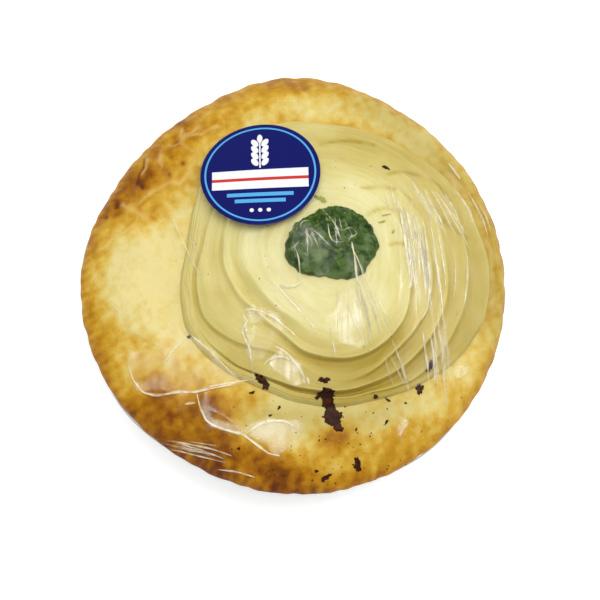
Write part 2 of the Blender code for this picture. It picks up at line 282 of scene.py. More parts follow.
def pressed_foil():
    """Bright rolled aluminium foil, dulled by drawing, with fine creases across the pleats."""
    material, tree, shader = new_finish("pressed_aluminium_foil")
    place = add_node(tree, "ShaderNodeTexCoord").outputs["Object"]
    creases = add_node(tree, "ShaderNodeTexNoise", {"Vector": place, "Scale": 420, "Detail": 4, "Roughness": 0.6})
    rub = add_node(tree, "ShaderNodeTexNoise", {"Vector": place, "Scale": 60, "Detail": 2})
    rough = add_node(tree, "ShaderNodeMapRange", {"Value": rub, "To Min": 0.2, "To Max": 0.42})
    bump = add_node(tree, "ShaderNodeBump", {
        "Height": creases, "Strength": 0.35, "Distance": 0.12 * MM})
    fill_inputs(tree, shader, {"Base Color": colour("#cfccca"), "Metallic": 1.0, "Roughness": rough, "Normal": bump})
    return material


foil = pressed_foil()
tin_angles = columns_of(PLEATS * 8)
tin_rings, tin_shares = tin_profile(tin_angles)
tin = ring_piece("tin_sheet", tin_rings, end_cap=False)
keep_attribute(tin, "wall_share", tin_shares)
keep_attribute(tin, "turn", [tin_angles / TURN] * len(tin_rings))
shape_with(tin, pleat_tree(foil), {"Pleats": float(PLEATS), "Depth": PLEAT_DEPTH, "Unevenness": 0.3, "Seed": 4})
thicken(tin, FOIL_THICKNESS)
tin = settle(tin, "drawn_foil_tin")
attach(tin, "root")
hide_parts("foil_tin")


# The pastry is a shortcrust case and lid, joined and trimmed at the tin's rim, brushed with egg and baked: it browns
# where it is thin and high, at its edge and on its blisters, and stays pale where it is thick.
GAP = 0.3 * MM
PINCH = 0.13 * MM
EDGE_THICKNESS = 3.2 * MM
EDGE_ROUND = 3.5 * MM
LID_RISE = 6.8 * MM
LID_SHOULDER = 21 * MM
RIM_ROLL = 1.5 * MM
CREVICE_DEPTH = 1.6 * MM
CREVICE_FACES = math.radians(40)
LID_RELIEF = (
    (-49, 8, 12, 1.0), (-40, 36, 8, 0.9), (-50, 24, 6, 0.8), (-28, 53, 8, 0.8), (-46, -24, 9, 0.9),
    (-24, -44, 9, 1.0), (-2, -51, 8, 0.8), (24, -52, 7, 0.7), (-37, -10, 7, -0.8), (-43, 18, 4, -0.9),
    (-38, -36, 6, -0.9), (-12, -46, 5, -0.7), (12, -47, 5, -0.6), (-33, 46, 4, -0.7), (-57, -8, 5, 0.5),
)
MASH_MIDDLE = (10.2 * MM, 5.4 * MM)
MASH_OUTLINE = (51.0, 47.8, 44.2, 44.2, 47.0, 46.0, 44.6, 50.6, 48.2, 48.0, 48.9, 52.2)
MASH_SEAT = 31.0 * MM
CRUST_COLUMNS = 672
LID_ROWS = 104

# How brown the edge is, every 30 degrees from +X, and how far in that reaches in millimetres
EDGE_BROWN = (0.30, 0.28, 0.32, 0.44, 0.42, 0.38, 0.44, 0.52, 0.74, 0.66, 0.48, 0.40)
EDGE_BROWN_REACH = (2.5, 3.5, 4, 8, 15, 16, 7, 8, 17, 8, 6, 5)
# Browned and pale patches: X, Y, half length, half width in millimetres, turn in degrees, and how much browner
BAKED_PATCHES = (
    (-28, -45, 10, 6, -25, 0.24), (-42, -41, 9, 6, -45, 0.20), (-14, -58, 15, 5, -12, 0.16), (-37, -34, 8, 5, 10, 0.22),
    (12, -53, 7, 4.5, 0, 0.54), (-48, -24, 8, 3.5, -20, 0.26), (-60, -21, 7, 4, 70, 0.14), (0, -62, 10, 5, 0, 0.24),
    (-56, 23, 8, 6, 60, 0.22), (-45, 33, 8, 6, 40, 0.24), (-31, 46, 8, 4, 25, 0.20), (1, 62, 14, 4, 0, 0.20),
    (49, -40, 8, 6, 40, 0.10), (33, -49, 9, 5, 25, 0.20), (60, -5, 6, 18, 0, 0.04), (50, 38, 8, 10, -45, 0.06),
    (-52, 20, 12, 9, 60, 0.16), (-38, 42, 12, 7, 35, 0.14), (24, -56, 9, 5, 20, 0.16), (-38, 30, 7, 5, 0, 0.16),
    (-46, 0, 15, 12, 0, -0.27), (-5, -50, 9, 4, 0, -0.30), (-51, -30, 4, 5, 0, -0.14), (-22, -42, 8, 5, 10, 0.26),
    (-2, -45, 18, 4, 0, -0.18), (43, 42, 14, 7, -45, -0.16), (-39, -17, 9, 7, 0, -0.20), (26, -46, 12, 4, 15, -0.12),
    (11, -62, 5, 2.5, 0, -0.12), (40, -43, 5, 3, 30, -0.14), (-45, 20, 9, 6, 40, 0.2), (-61, 8, 5, 6, 0, 0.1),
)
# Where the lid is painted darker and duller as painted shade, on its near side, right and far right: the same six
# values, with how dull it is
PAINTED_SHADE_PATCHES = (
    (0, -47, 24, 6, 0, 0.85), (28, -43, 13, 6, 25, 0.55), (63, -3, 6, 24, 0, 0.9), (47, 36, 26, 8, -45, 0.85),
    (26, 56, 17, 6, -15, 0.5),
)
# Where the filling has spat on the near side of the lid: the same six values, with how thickly
SPAT_PATCH = ((14, -54, 27, 13, 0, 1.0),)
# The egg glaze on the far left has broken into plates: the pale seams between them, one dark crack, and pits
GLAZE_SEAMS = (
    ((-36.8, 47.7), (-36.9, 43.1), (-37.6, 42.2)),
    ((-25.5, 47.6), (-30.7, 45.3), (-35.5, 45.4), (-36.9, 43.1)),
    ((-31.3, 47.9), (-35.5, 45.6)),
    ((-37.6, 42.2), (-34.8, 40.1), (-32.8, 37.2), (-32.6, 35.5), (-33.8, 33.9), (-34.3, 31.9), (-35.8, 29.5),
     (-37.6, 27.9), (-40.3, 28.1), (-42.1, 27.3), (-45.3, 25.5), (-47.4, 23.3), (-49.4, 21.0), (-53.4, 20.3)),
    ((-37.6, 42.2), (-40.7, 41.6), (-43.1, 40.1), (-43.7, 36.8), (-43.4, 32.5)),
    ((-54.9, 21.2), (-52.7, 19.3), (-49.9, 17.7), (-47.2, 16.3), (-44.8, 14.7), (-42.6, 13.1)),
    ((-50.2, 17.1), (-50.7, 13.2), (-54.2, 11.5), (-56.6, 10.1), (-59.5, 7.8), (-62.5, 5.9)),
    ((-50.7, 13.2), (-49.4, 10.9), (-46.4, 9.3)),
    ((-47.7, 37.6), (-47.9, 33.8), (-49.2, 31.8)),
)
GLAZE_CRACK = ((-48.5, 37.5), (-48.7, 33.8), (-50.1, 31.5), (-50.3, 28.7), (-48.7, 26.4))
GLAZE_PITS = ((-36.2, 34.7, 0.75), (-40.4, 30.6, 0.9), (-56.7, 20.8, 0.7), (-60.0, 17.5, 0.6), (-50.3, 28.7, 0.5))


def ripple(x, y, wavelength, seed, waves=14):
    """An even, soft unevenness with the given wavelength, the same at each run."""
    draw = np.random.default_rng(seed)
    total = 0
    for _ in range(waves):
        way, phase = draw.uniform(0, TURN, 2)
        length = wavelength * draw.uniform(0.65, 1.5)
        total = total + np.cos(TURN * (x * math.cos(way) + y * math.sin(way)) / length + phase)
    return total / math.sqrt(waves / 2)


def pie_outline(angles):
    """The pastry's edge, unevenly pinched all round."""
    pinched = 0
    for pinches, part in ((31, 1.0), (53, 0.7), (84, 0.5)):
        pinched = pinched + part * np.cos(pinches * angles + 4 * np.cos(3 * angles + pinches))
    return around(PIE_OUTLINE, angles) * MM + PINCH * pinched


def lid_points(angles, share):
    """A ring a share of the way from the pastry's edge to the mash, and how far in from the edge it lies."""
    edge = ring(angles, pie_outline(angles), 0)
    foot = ring(angles, around(MASH_OUTLINE, angles) * MM + GAP, 0, MASH_MIDDLE)
    width = np.hypot(*(foot - edge)[:, :2].T)
    return edge + (foot - edge) * share, width * share


def lid_form(angles, share):
    """The lid's main form: a low pillow, a rolled rim and a crevice where the mash comes close to the rim."""
    points, inwards = lid_points(angles, share)
    nose = np.sqrt(1 - (1 - np.clip(inwards / EDGE_ROUND, 0, 1)) ** 2)
    rise = 1 - (1 - np.clip(inwards / LID_SHOULDER, 0, 1)) ** 2
    height = TIN_HEIGHT + GAP + EDGE_THICKNESS * (0.55 + 0.45 * nose) + LID_RISE * rise
    near = facing(angles, CREVICE_FACES, 1.0) ** 2
    height += RIM_ROLL * near * np.sin(math.pi * np.clip(share / 0.75, 0, 1)) ** 2
    height -= CREVICE_DEPTH * near * smoothstep(0.5, 1.0, share)
    swell = smoothstep(0, 5 * MM, inwards) * smoothstep(1.0, 0.75, share)
    for x, y, reach, up in LID_RELIEF:
        away = np.hypot(points[:, 0] - x * MM, points[:, 1] - y * MM) / (reach * MM)
        height += up * MM * swell * np.exp(-away ** 2)
    return points, inwards, height


def mash_foot(angles):
    return lid_form(angles, 1.0)[2]


def seat_ring(angles, share, drop, gap=0.0):
    """A ring of the dip in the lid that the mash sits in."""
    height = MASH_SEAT + (mash_foot(angles) - drop - MASH_SEAT) * smoothstep(0.2, 0.93, share)
    return ring(angles, around(MASH_OUTLINE, angles) * MM * share, height + gap, MASH_MIDDLE)


def spots(seed, count, smallest, largest):
    """Places and sizes of small blisters or pits, drawn over the whole lid with a fixed seed."""
    draw = np.random.default_rng(seed)
    way, out = draw.uniform(0, TURN, count), np.sqrt(draw.uniform(0.2, 1, count)) * 64 * MM
    return out * np.cos(way), out * np.sin(way), draw.uniform(smallest, largest, count)


def lid_detail(x, y):
    """Blisters, pits and the rolling of the dough, which a baked lid shows at a few millimetres."""
    height = 0.22 * MM * ripple(x, y, 15 * MM, 11) + 0.07 * MM * ripple(x, y, 5 * MM, 12)
    for bx, by, size in zip(*spots(21, 90, 1.4 * MM, 3.4 * MM)):
        away = ((x - bx) ** 2 + (y - by) ** 2) / size ** 2
        height += 0.11 * size * np.clip(1 - away, 0, 1) ** 2
    for bx, by, size in zip(*spots(22, 60, 0.5 * MM, 1.0 * MM)):
        away = ((x - bx) ** 2 + (y - by) ** 2) / size ** 2
        height -= 0.45 * size * np.exp(-away * 1.5)
    return height


def from_line(x, y, line):
    """The distance to a line through the given places, and how far along the nearest point lies, from 0 to 1."""
    best = np.full(x.shape, np.inf)
    where = np.zeros(x.shape)
    line = np.asarray(line) * MM
    for number, (start, end) in enumerate(zip(line[:-1], line[1:])):
        run = end - start
        t = np.clip(((x - start[0]) * run[0] + (y - start[1]) * run[1]) / (run @ run), 0, 1)
        away = np.hypot(x - start[0] - t * run[0], y - start[1] - t * run[1])
        nearer = away < best
        best = np.where(nearer, away, best)
        where = np.where(nearer, (number + t) / (len(line) - 1), where)
    return best, where


def patches(x, y, places):
    """Adds up soft oval patches, each with its place, half sizes, turn and strength."""
    total = 0
    for px, py, long, wide, turn, amount in places:
        a = math.radians(turn)
        dx, dy = x - px * MM, y - py * MM
        along = (dx * math.cos(a) + dy * math.sin(a)) / (long * MM)
        across = (dy * math.cos(a) - dx * math.sin(a)) / (wide * MM)
        total = total + amount * np.exp(-along ** 2 - across ** 2)
    return total


def browning_and_crevice_shade(x, y, angles, inwards):
    """How brown the pastry is, from 0 for pale dough to 1 for its darkest edge, with painted shade in the crevice
    beside the mash.
    """
    reach = around(EDGE_BROWN_REACH, angles) * MM
    brown = 0.12 + around(EDGE_BROWN, angles) * np.exp(-(np.maximum(inwards, 0) / reach) ** 1.4)
    brown += patches(x, y, BAKED_PATCHES)
    crimps = np.cos(151 * angles + 3 * np.cos(7 * angles)) + 0.6 * np.cos(97 * angles + 2 * np.cos(5 * angles))
    at_rim = np.exp(-(np.maximum(inwards, 0) / (3.5 * MM)) ** 2)
    brown += 0.055 * facing(angles, math.radians(205), 1) * crimps * at_rim
    brown += 0.05 * ripple(x, y, 12 * MM, 31) + 0.04 * ripple(x, y, 4.5 * MM, 32)
    for px, py, size in GLAZE_PITS:
        brown += 0.35 * np.exp(-((x - px * MM) ** 2 + (y - py * MM) ** 2) / (size * MM) ** 2)
    brown += 0.3 * np.exp(-(from_line(x, y, GLAZE_CRACK)[0] / (0.4 * MM)) ** 2)
    # Painted shade: darker in the crevice between the mash and the rolled rim on the far right
    from_mash = np.arctan2(y - MASH_MIDDLE[1], x - MASH_MIDDLE[0])
    beside = np.hypot(x - MASH_MIDDLE[0], y - MASH_MIDDLE[1]) - around(MASH_OUTLINE, from_mash % TURN) * MM
    brown += 0.2 * facing(angles, CREVICE_FACES, 2) * np.exp(-(beside / (2.0 * MM)) ** 2)
    return np.clip(brown, 0, 1)


def seams(x, y):
    """How much of each place is a seam between plates of glaze: thin, soft and a little wavy."""
    x, y = x + 0.22 * MM * ripple(x, y, 6 * MM, 34), y + 0.22 * MM * ripple(x, y, 6 * MM, 35)
    away = np.min([from_line(x, y, line)[0] for line in GLAZE_SEAMS], axis=0)
    width = (0.7 + 0.15 * ripple(x, y, 7 * MM, 36)) * MM
    strength = np.clip(0.75 + 0.3 * ripple(x, y, 9 * MM, 37), 0.15, 1)
    return strength * np.exp(-(away / np.maximum(width, 0.3 * MM)) ** 2)


def make_crust():
    """Builds the pastry from the case's bottom up to the rim, round the edge, over the lid and in under the mash."""
    angles = columns_of(CRUST_COLUMNS)
    edge = pie_outline(angles)
    under = TIN_HEIGHT + GAP
    rings = [ring(angles, TIN_BASE_RADIUS - 2.4 * MM, 0.8 * MM), ring(angles, TIN_BASE_RADIUS + 0.4 * MM, 3.4 * MM)]
    for share in (0.3, 0.6, 0.92):
        wall = TIN_BASE_RADIUS + (tin_rim_radius(angles) - TIN_FLANGE - TIN_BASE_RADIUS) * share
        rings.append(ring(angles, wall - 1.0 * MM, TIN_HEIGHT * share))
    rings.append(ring(angles, tin_rim_radius(angles) - TIN_FLANGE - 0.5 * MM, under))
    rings.append(ring(angles, edge - 1.9 * MM, under))
    browned = [np.full(CRUST_COLUMNS, 0.6)] * len(rings)
    for share in np.linspace(0.15, 1, 6):
        a = share * math.pi / 2
        rings.append(ring(angles, edge - 1.2 * MM * (1 - math.sin(a)),
                          under + 0.55 * EDGE_THICKNESS * (1 - math.cos(a))))
        browned.append(browning_and_crevice_shade(*rings[-1][:, :2].T, angles, np.zeros(CRUST_COLUMNS) - 1))
    for share in np.linspace(0, 1, LID_ROWS) ** 1.25:
        points, inwards, height = lid_form(angles, share)
        fade = smoothstep(0, 3 * MM, inwards)
        points[:, 2] = height + fade * smoothstep(1.02, 0.9, share) * lid_detail(points[:, 0], points[:, 1])
        rings.append(points)
        browned.append(browning_and_crevice_shade(points[:, 0], points[:, 1], angles, inwards))
    for share in (0.93, 0.55, 0.2):
        rings.append(seat_ring(angles, share, 1.2 * MM))
        browned.append(np.full(CRUST_COLUMNS, 0.1))
    crust = ring_piece("baked_pastry_crust", rings)
    keep_attribute(crust, "browning_and_crevice_shade", browned)
    spat = []
    for number, points in enumerate(rings):
        x, y = points[:, 0], points[:, 1]
        uneven = 0.25 + 0.75 * smoothstep(0, 1, ripple(x, y, 9 * MM, 61))
        spat.append(patches(x, y, SPAT_PATCH) * uneven * (7 < number < len(rings) - 3))
    keep_attribute(crust, "strewn", spat)
    keep_attribute(crust, "seam", [seams(points[:, 0], points[:, 1]) for points in rings])
    # The painted shade on the lid's near side, right and far right
    dull = [patches(points[:, 0], points[:, 1], PAINTED_SHADE_PATCHES) for points in rings]
    keep_attribute(crust, "dull", np.minimum(dull, 1))
    return crust


def fill_ramp(ramp, stops):
    """Gives a colour ramp its colours, each at its place."""
    elements = ramp.color_ramp.elements
    while len(elements) < len(stops):
        elements.new(0.5)
    for element, (at, hex_code) in zip(elements, stops):
        element.position = at
        element.color = colour(hex_code)


def baked_pastry():
    """Shortcrust brushed with egg: a dry, faintly grainy crumb under a thin uneven gloss, paler along the seams."""
    material, tree, shader = new_finish("egg_washed_shortcrust")
    place = add_node(tree, "ShaderNodeTexCoord").outputs["Object"]
    brown = add_node(tree, "ShaderNodeAttribute", attribute_name="browning_and_crevice_shade").outputs["Fac"]
    mottle = add_node(tree, "ShaderNodeTexNoise", {"Vector": place, "Scale": 520, "Detail": 7, "Roughness": 0.75})
    mottle = add_node(tree, "ShaderNodeMapRange", {"Value": mottle, "To Min": -0.22, "To Max": 0.22})
    cloud = add_node(tree, "ShaderNodeTexNoise", {"Vector": place, "Scale": 130, "Detail": 3})
    cloud = add_node(tree, "ShaderNodeMapRange", {"Value": cloud, "To Min": -0.15, "To Max": 0.15})
    level = brown
    for unevenness in (mottle, cloud):
        level = add_node(tree, "ShaderNodeMath", {0: level, 1: unevenness}, operation="ADD")
    ramp = add_node(tree, "ShaderNodeValToRGB", {"Fac": level})
    fill_ramp(ramp, ((0.0, "#e6d690"), (0.2, "#dfc366"), (0.38, "#d2a637"), (0.54, "#c08c17"),
                     (0.70, "#a76c02"), (0.86, "#804600"), (1.0, "#622f06")))
    seam = add_node(tree, "ShaderNodeAttribute", attribute_name="seam").outputs["Fac"]
    faint = add_node(tree, "ShaderNodeMath", {0: seam, 1: 0.5}, operation="MULTIPLY")
    skin = add_node(tree, "ShaderNodeMix", {
        0: faint, 6: ramp, 7: colour("#eac978")}, data_type="RGBA")
    # Painted shade: the skin is darkened towards a dull olive on the lid's near side, right and far right
    dull = add_node(tree, "ShaderNodeAttribute", attribute_name="dull").outputs["Fac"]
    skin = add_node(tree, "ShaderNodeMix", {
        0: dull, 6: skin.outputs[2], 7: colour("#d6d0b0")}, data_type="RGBA", blend_type="MULTIPLY")
    grain = add_node(tree, "ShaderNodeTexNoise", {"Vector": place, "Scale": 1400, "Detail": 4, "Roughness": 0.7})
    relief = add_node(tree, "ShaderNodeMath", {0: seam, 1: 0.5, 2: grain}, operation="MULTIPLY_ADD")
    bump = add_node(tree, "ShaderNodeBump", {"Height": relief, "Strength": 0.55, "Distance": 0.25 * MM})
    gloss = add_node(tree, "ShaderNodeMapRange", {"Value": brown, "To Min": 0.62, "To Max": 0.36})
    fill_inputs(tree, shader, {
        "Base Color": skin.outputs[2], "Roughness": gloss, "Normal": bump, "Specular IOR Level": 0.15,
        "Subsurface Weight": 0.08, "Subsurface Scale": 0.003, "Subsurface Radius": (1.0, 0.6, 0.3)})
    return material


crust = make_crust()
crust.data.materials.append(baked_pastry())
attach(crust, "root")
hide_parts("pie_crust")


# The mashed potato is spooned on and spread with a wet knife in overlapping turns, each ending in a soft lip above
# the last one, with the knife's fine drag lines left along them.
MASH_CROWN = 49.0 * MM
MASH_EDGE = 2.4 * MM
# Each turn's lip: its radii at equal steps round from +X, its steps down in millimetres, and how wide the step is
MASH_LIPS = (
    ((43.2, 41.5, 40.0, 40.4, 43.0, 43.4, 43.0, 49.0, 46.6, 46.4, 47.3, 45.3),
     (0.9, 0.6, 0.4, 0.3, 0.3, 0.3, 0.4, 0, 0, 0.3, 0.9, 1.2), 1.0),
    ((35.3, 35.2, 35.0, 34.7, 34.5, 34.6, 35.0, 36.3, 38.0, 39.5, 40.8, 41.2, 41.6, 45.2, 49.2, 48.0, 45.2, 44.2,
      44.1, 43.6, 42.4, 41.0, 39.5, 37.4),
     (0.9, 0.5, 0.3, 0.3, 0.3, 0.2, 0, 0, 1.7, 2.8, 2.4, 1.5), 1.3),
    ((30.3, 29.9, 29.5, 28.6, 28.0, 27.9, 28.5, 29.8, 32.0, 34.5, 37.0, 38.5, 39.6, 42.6, 44.5, 41.6, 37.6, 38.0,
      41.2, 40.6, 37.5, 35.8, 34.3, 32.2),
     (1.0, 0.6, 0.3, 0.3, 0.3, 0.6, 1.0, 1.2, 0.9, 0, 2.0, 1.6), 1.1),
    ((23.2, 22.4, 21.5, 21.1, 21.0, 21.3, 22.0, 24.2, 27.0, 29.4, 31.5, 32.8, 33.2, 33.2, 32.5, 31.0, 31.4, 33.6,
      34.4, 34.8, 33.2, 31.0, 27.5, 25.0),
     (1.0, 0.6, 0.4, 0.3, 0.3, 0.6, 1.1, 1.1, 1.4, 2.8, 2.5, 1.7), 1.3),
    ((17.0, 16.5, 16.5, 16.5, 18.0, 24.0, 28.0, 26.2, 26.0, 28.5, 24.0, 19.0),
     (0.4, 0.3, 0, 0, 0, 0.1, 0.5, 1.3, 1.5, 0, 0.2, 0.4), 4.2),
)
# How a lip falls from its crest to its foot: shares of the step's width and of its height
LIP_PROFILE = ((1.0, 0.0), (0.78, 0.05), (0.58, 0.17), (0.42, 0.36), (0.28, 0.6), (0.15, 0.83), (0.04, 0.96),
               (-0.1, 1.02), (-0.3, 1.03))
# Where the knife was lifted on the far right: the lines that its edge left, in millimetres, each a shallow groove with
# painted shade along it
KNIFE_MARKS = (
    ((28.3, 30.6), (31.6, 31.5), (34.8, 31.8), (38.9, 31.7), (42.1, 30.8), (45.3, 28.9), (47.2, 26.9)),
    ((7.2, 40.4), (11.7, 41.6), (16.2, 42.1), (20.6, 42.1), (24.3, 41.3)),
    ((19.5, 24.4), (23.1, 24.9), (27.1, 25.4), (30.3, 25.1)),
    ((21.3, 14.9), (23.7, 17.0), (27.2, 17.7), (30.0, 17.6), (33.6, 17.5)),
    ((42.0, 23.5), (44.7, 18.5), (47.4, 15.6), (50.6, 13.6), (53.4, 12.0)),
    ((27.8, 5.5), (29.8, 6.6), (31.8, 6.4), (33.8, 5.7)),
)
MASH_COLUMNS = 540
BAND_ROWS = 0.62 * MM
DEEPEST_STEP = 2.6 * MM
# How deep the knife's drag lines are, every 30 degrees from +X, in millimetres
DRAG_DEPTH = (0.09, 0.12, 0.15, 0.12, 0.09, 0.11, 0.13, 0.07, 0.04, 0.03, 0.04, 0.06)


def drag_lines(angles, radius):
    """Fine grooves that run round with the knife and drift a little in and out."""
    drift = 1.3 * MM * np.cos(2 * angles + 0.6) + 0.7 * MM * np.cos(5 * angles) + 0.25 * MM * np.cos(13 * angles)
    depth = around(DRAG_DEPTH, angles) * MM
    lines = 0
    for length, part, phase in ((1.7, 0.5, 0.0), (2.6, 0.7, 2.0), (4.3, 0.9, 4.0), (6.9, 0.8, 1.0)):
        lines = lines + part * np.cos(TURN * (radius + drift * part) / (length * MM) + phase)
    return depth * lines


def make_mash():
    """Builds the mash from its seat round its edge and in over each lip to the top."""
    angles = columns_of(MASH_COLUMNS)
    wobble = 0.22 * MM * np.cos(9 * angles + 2) + 0.12 * MM * np.cos(17 * angles) + 0.06 * MM * np.cos(31 * angles)
    outline = around(MASH_OUTLINE, angles) * MM
    foot = mash_foot(angles)
    top_edge = foot + MASH_EDGE

    def crest(radius):
        return top_edge + (MASH_CROWN - top_edge) * (1 - (radius / outline) ** 1.8)

    def thin(radius):
        """The mash is darker and more golden towards its outer part: its own colour where it lies thin, with painted
        shade added on the far right and the near side.
        """
        sides = 0.1 + 0.38 * facing(angles, math.radians(30), 1) + 0.42 * facing(angles, math.radians(272), 3)
        return smoothstep(0.4, 0.88, radius / outline) * sides

    rings = [seat_ring(angles, share, 1.2 * MM, GAP) for share in (0.2, 0.55, 0.93)]
    shades = [np.zeros(MASH_COLUMNS)] * 3
    edge = outline + wobble
    # Painted shade darkens the mash's edge towards its foot where it meets the crust, faintly on the left; painted side
    # shade lies above it
    for back, up in ((-0.29, 0.03), (-0.12, 0.14), (0.0, 0.28), (0.1, 0.45), (0.22, 0.64), (0.4, 0.82), (0.65, 0.94),
                     (0.95, 1.0)):
        rings.append(ring(angles, edge - back * MM, foot + GAP * (1 - up) + MASH_EDGE * up, MASH_MIDDLE))
        shades.append(0.55 * (1 - up) * (1 - 0.8 * facing(angles, math.radians(185), 1)) + thin(edge) * up)
    outer = edge - 0.95 * MM
    for sizes, steps, width in MASH_LIPS:
        lip = np.minimum(around(sizes, angles) * MM + wobble * 0.4, outer - 0.9 * MM)
        step = np.maximum(around(steps, angles), 0) * 0.8 * MM
        width = np.minimum(width * MM, 0.6 * (outer - lip))
        rows = max(5, int(np.mean(outer - lip - width) / BAND_ROWS))
        for share in np.linspace(0, 1, rows)[1:-1]:
            radius = outer + (lip + width - outer) * share
            height = crest(radius) - step * share ** 1.3 + drag_lines(angles, radius) * smoothstep(0, 0.15, share)
            rings.append(ring(angles, radius, height, MASH_MIDDLE))
            # Painted shade: the terrace darkens towards the foot of each lip, where the lip's shade falls
            deep = 0.6 * step / DEEPEST_STEP * np.exp(-(1 - share) * (outer - lip - width) / (2.2 * MM))
            shades.append(deep + thin(radius))
        for out, up in LIP_PROFILE:
            radius = lip + width * out
            dragged = drag_lines(angles, radius) * smoothstep(0.0, 1.0, abs(out - 0.4) + 0.2)
            rings.append(ring(angles, radius, crest(radius) - step * (1 - up) + dragged, MASH_MIDDLE))
            # Painted shade darkens each lip's face towards its foot, and a painted highlight lightens its crest
            bright = 0.12 * step / MM * (abs(out) < 0.12)
            shades.append(0.6 * step / DEEPEST_STEP * (1 - up) - bright + thin(radius))
        outer = lip - 0.3 * width
    for share in np.linspace(0, 0.97, 40)[1:]:
        radius = outer * (1 - share)
        height = crest(radius) + drag_lines(angles, radius) * smoothstep(0, 0.1, share) * smoothstep(0.9, 0.5, share)
        rings.append(ring(angles, radius, height, MASH_MIDDLE))
        shades.append(np.zeros(MASH_COLUMNS))
    for number, points in enumerate(rings[3:], 3):
        x, y = points[:, 0], points[:, 1]
        away = np.min([from_line(x, y, mark)[0] for mark in KNIFE_MARKS], axis=0)
        marked = np.clip(0.8 + 0.3 * ripple(x, y, 6 * MM, 42), 0.2, 1.1) * np.exp(-(away / (0.75 * MM)) ** 2)
        points[:, 2] += 0.1 * MM * ripple(x, y, 14 * MM, 41) - 0.22 * MM * marked
        # Painted shade along the knife marks' grooves
        shades[number] = shades[number] + 0.34 * marked
    mash = ring_piece("spread_mashed_potato", rings)
    # Keeps the painted shading: painted shade under the lips, at the foot, along the knife marks and on the far right
    # and near side, and painted highlights along the lips' crests
    keep_attribute(mash, "painted_mash_shading", shades)
    turns = [np.hypot(points[:, 0] - MASH_MIDDLE[0], points[:, 1] - MASH_MIDDLE[1]).mean() for points in rings]
    keep_attribute(mash, "turn_radius", [np.full(MASH_COLUMNS, radius) for radius in turns])
    keep_attribute(mash, "strewn", [np.full(MASH_COLUMNS, float(number > 10)) for number in range(len(rings))])
    return mash


def creamy_mash():
    """Floury potato worked smooth with milk and butter: light goes into it, and its wet skin has a low sheen."""
    material, tree, shader = new_finish("buttered_mashed_potato")
    place = add_node(tree, "ShaderNodeTexCoord").outputs["Object"]
    # The painted shading darkens the mash where shade falls and lightens it along the lips' crests
    painted_mash_shading = add_node(tree, "ShaderNodeAttribute", attribute_name="painted_mash_shading").outputs["Fac"]
    cloud = add_node(tree, "ShaderNodeTexNoise", {"Vector": place, "Scale": 60, "Detail": 4})
    cloud = add_node(tree, "ShaderNodeMapRange", {"Value": cloud, "To Min": -0.15, "To Max": 0.45})
    level = add_node(tree, "ShaderNodeMath", {0: painted_mash_shading, 1: cloud}, operation="ADD")
    # The knife's fine streaks: noise drawn out round the turns and close together across them
    flat = add_node(tree, "ShaderNodeVectorMath", {0: place, 1: (*MASH_MIDDLE, 0)}, operation="SUBTRACT")
    flat = add_node(tree, "ShaderNodeVectorMath", {0: flat, 1: (1, 1, 0)}, operation="MULTIPLY")
    way = add_node(tree, "ShaderNodeVectorMath", {0: flat}, operation="NORMALIZE")
    way = add_node(tree, "ShaderNodeVectorMath", {0: way, "Scale": 2.4}, operation="SCALE")
    turn = add_node(tree, "ShaderNodeAttribute", attribute_name="turn_radius").outputs["Fac"]
    across = add_node(tree, "ShaderNodeMath", {0: turn, 1: 620.0}, operation="MULTIPLY")
    across = add_node(tree, "ShaderNodeCombineXYZ", {"Z": across})
    drawn = add_node(tree, "ShaderNodeVectorMath", {0: way, 1: across}, operation="ADD")
    streaks = add_node(tree, "ShaderNodeTexNoise", {
        "Vector": drawn, "Scale": 1.0, "Detail": 5, "Roughness": 0.6})
    tone = add_node(tree, "ShaderNodeMapRange", {"Value": streaks, "To Min": -0.22, "To Max": 0.22})
    level = add_node(tree, "ShaderNodeMath", {0: level, 1: tone}, operation="ADD")
    ramp = add_node(tree, "ShaderNodeValToRGB", {"Fac": level})
    fill_ramp(ramp, ((0.0, "#ebe3ac"), (0.25, "#dfd38b"), (0.6, "#cbb865"), (1.0, "#ae9638")))
    grain = add_node(tree, "ShaderNodeTexNoise", {"Vector": place, "Scale": 900, "Detail": 3})
    relief = add_node(tree, "ShaderNodeMath", {0: streaks, 1: 3.0, 2: grain},
                      operation="MULTIPLY_ADD")
    bump = add_node(tree, "ShaderNodeBump", {"Height": relief, "Strength": 0.4, "Distance": 0.2 * MM})
    fill_inputs(tree, shader, {
        "Base Color": ramp, "Normal": bump, "Roughness": 0.5, "Specular IOR Level": 0.3,
        "Subsurface Weight": 0.35, "Subsurface Scale": 0.004, "Subsurface Radius": (1.0, 0.8, 0.45)})
    return material


mash = make_mash()
mash.data.materials.append(creamy_mash())
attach(mash, "root")
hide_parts("mashed_potato")


# The peas are a spoonful of mushy peas: steeped peas boiled until they burst, crushed so that skins and halves
# stand out of the mush, and dropped on the mash while both are hot.
PEA_OUTLINE = (14.3, 13.2, 12.4, 11.8, 11.4, 12.8, 14.9, 15.6, 12.8, 11.8, 13.4, 13.4)
PEA_HEIGHT = 4.4 * MM
PEA_LUMPS = 30
PEA_CRUMBS = 520
PEA_LUMP_RADIUS = 3.9 * MM
PEA_COLUMNS = 288
PEA_BITS_ON_A_METRE = 300000.0
# Where the film has pressed the mush to a smooth paste: X, Y, half sizes in millimetres, turn and how smooth. There the
# mush is painted a paler grey-green, its own colour with a painted sheen of the film
PEA_PASTE = ((4.3, 2.0, 4.2, 7.5, -15, 1.0), (11.0, -4.6, 7.0, 2.6, 0, 0.85), (20.5, 3.5, 3.0, 6.5, 0, 0.75),
             (16.5, -1.0, 2.4, 4.0, 20, 0.6), (12.5, 6.5, 3.0, 2.5, 0, 0.5))
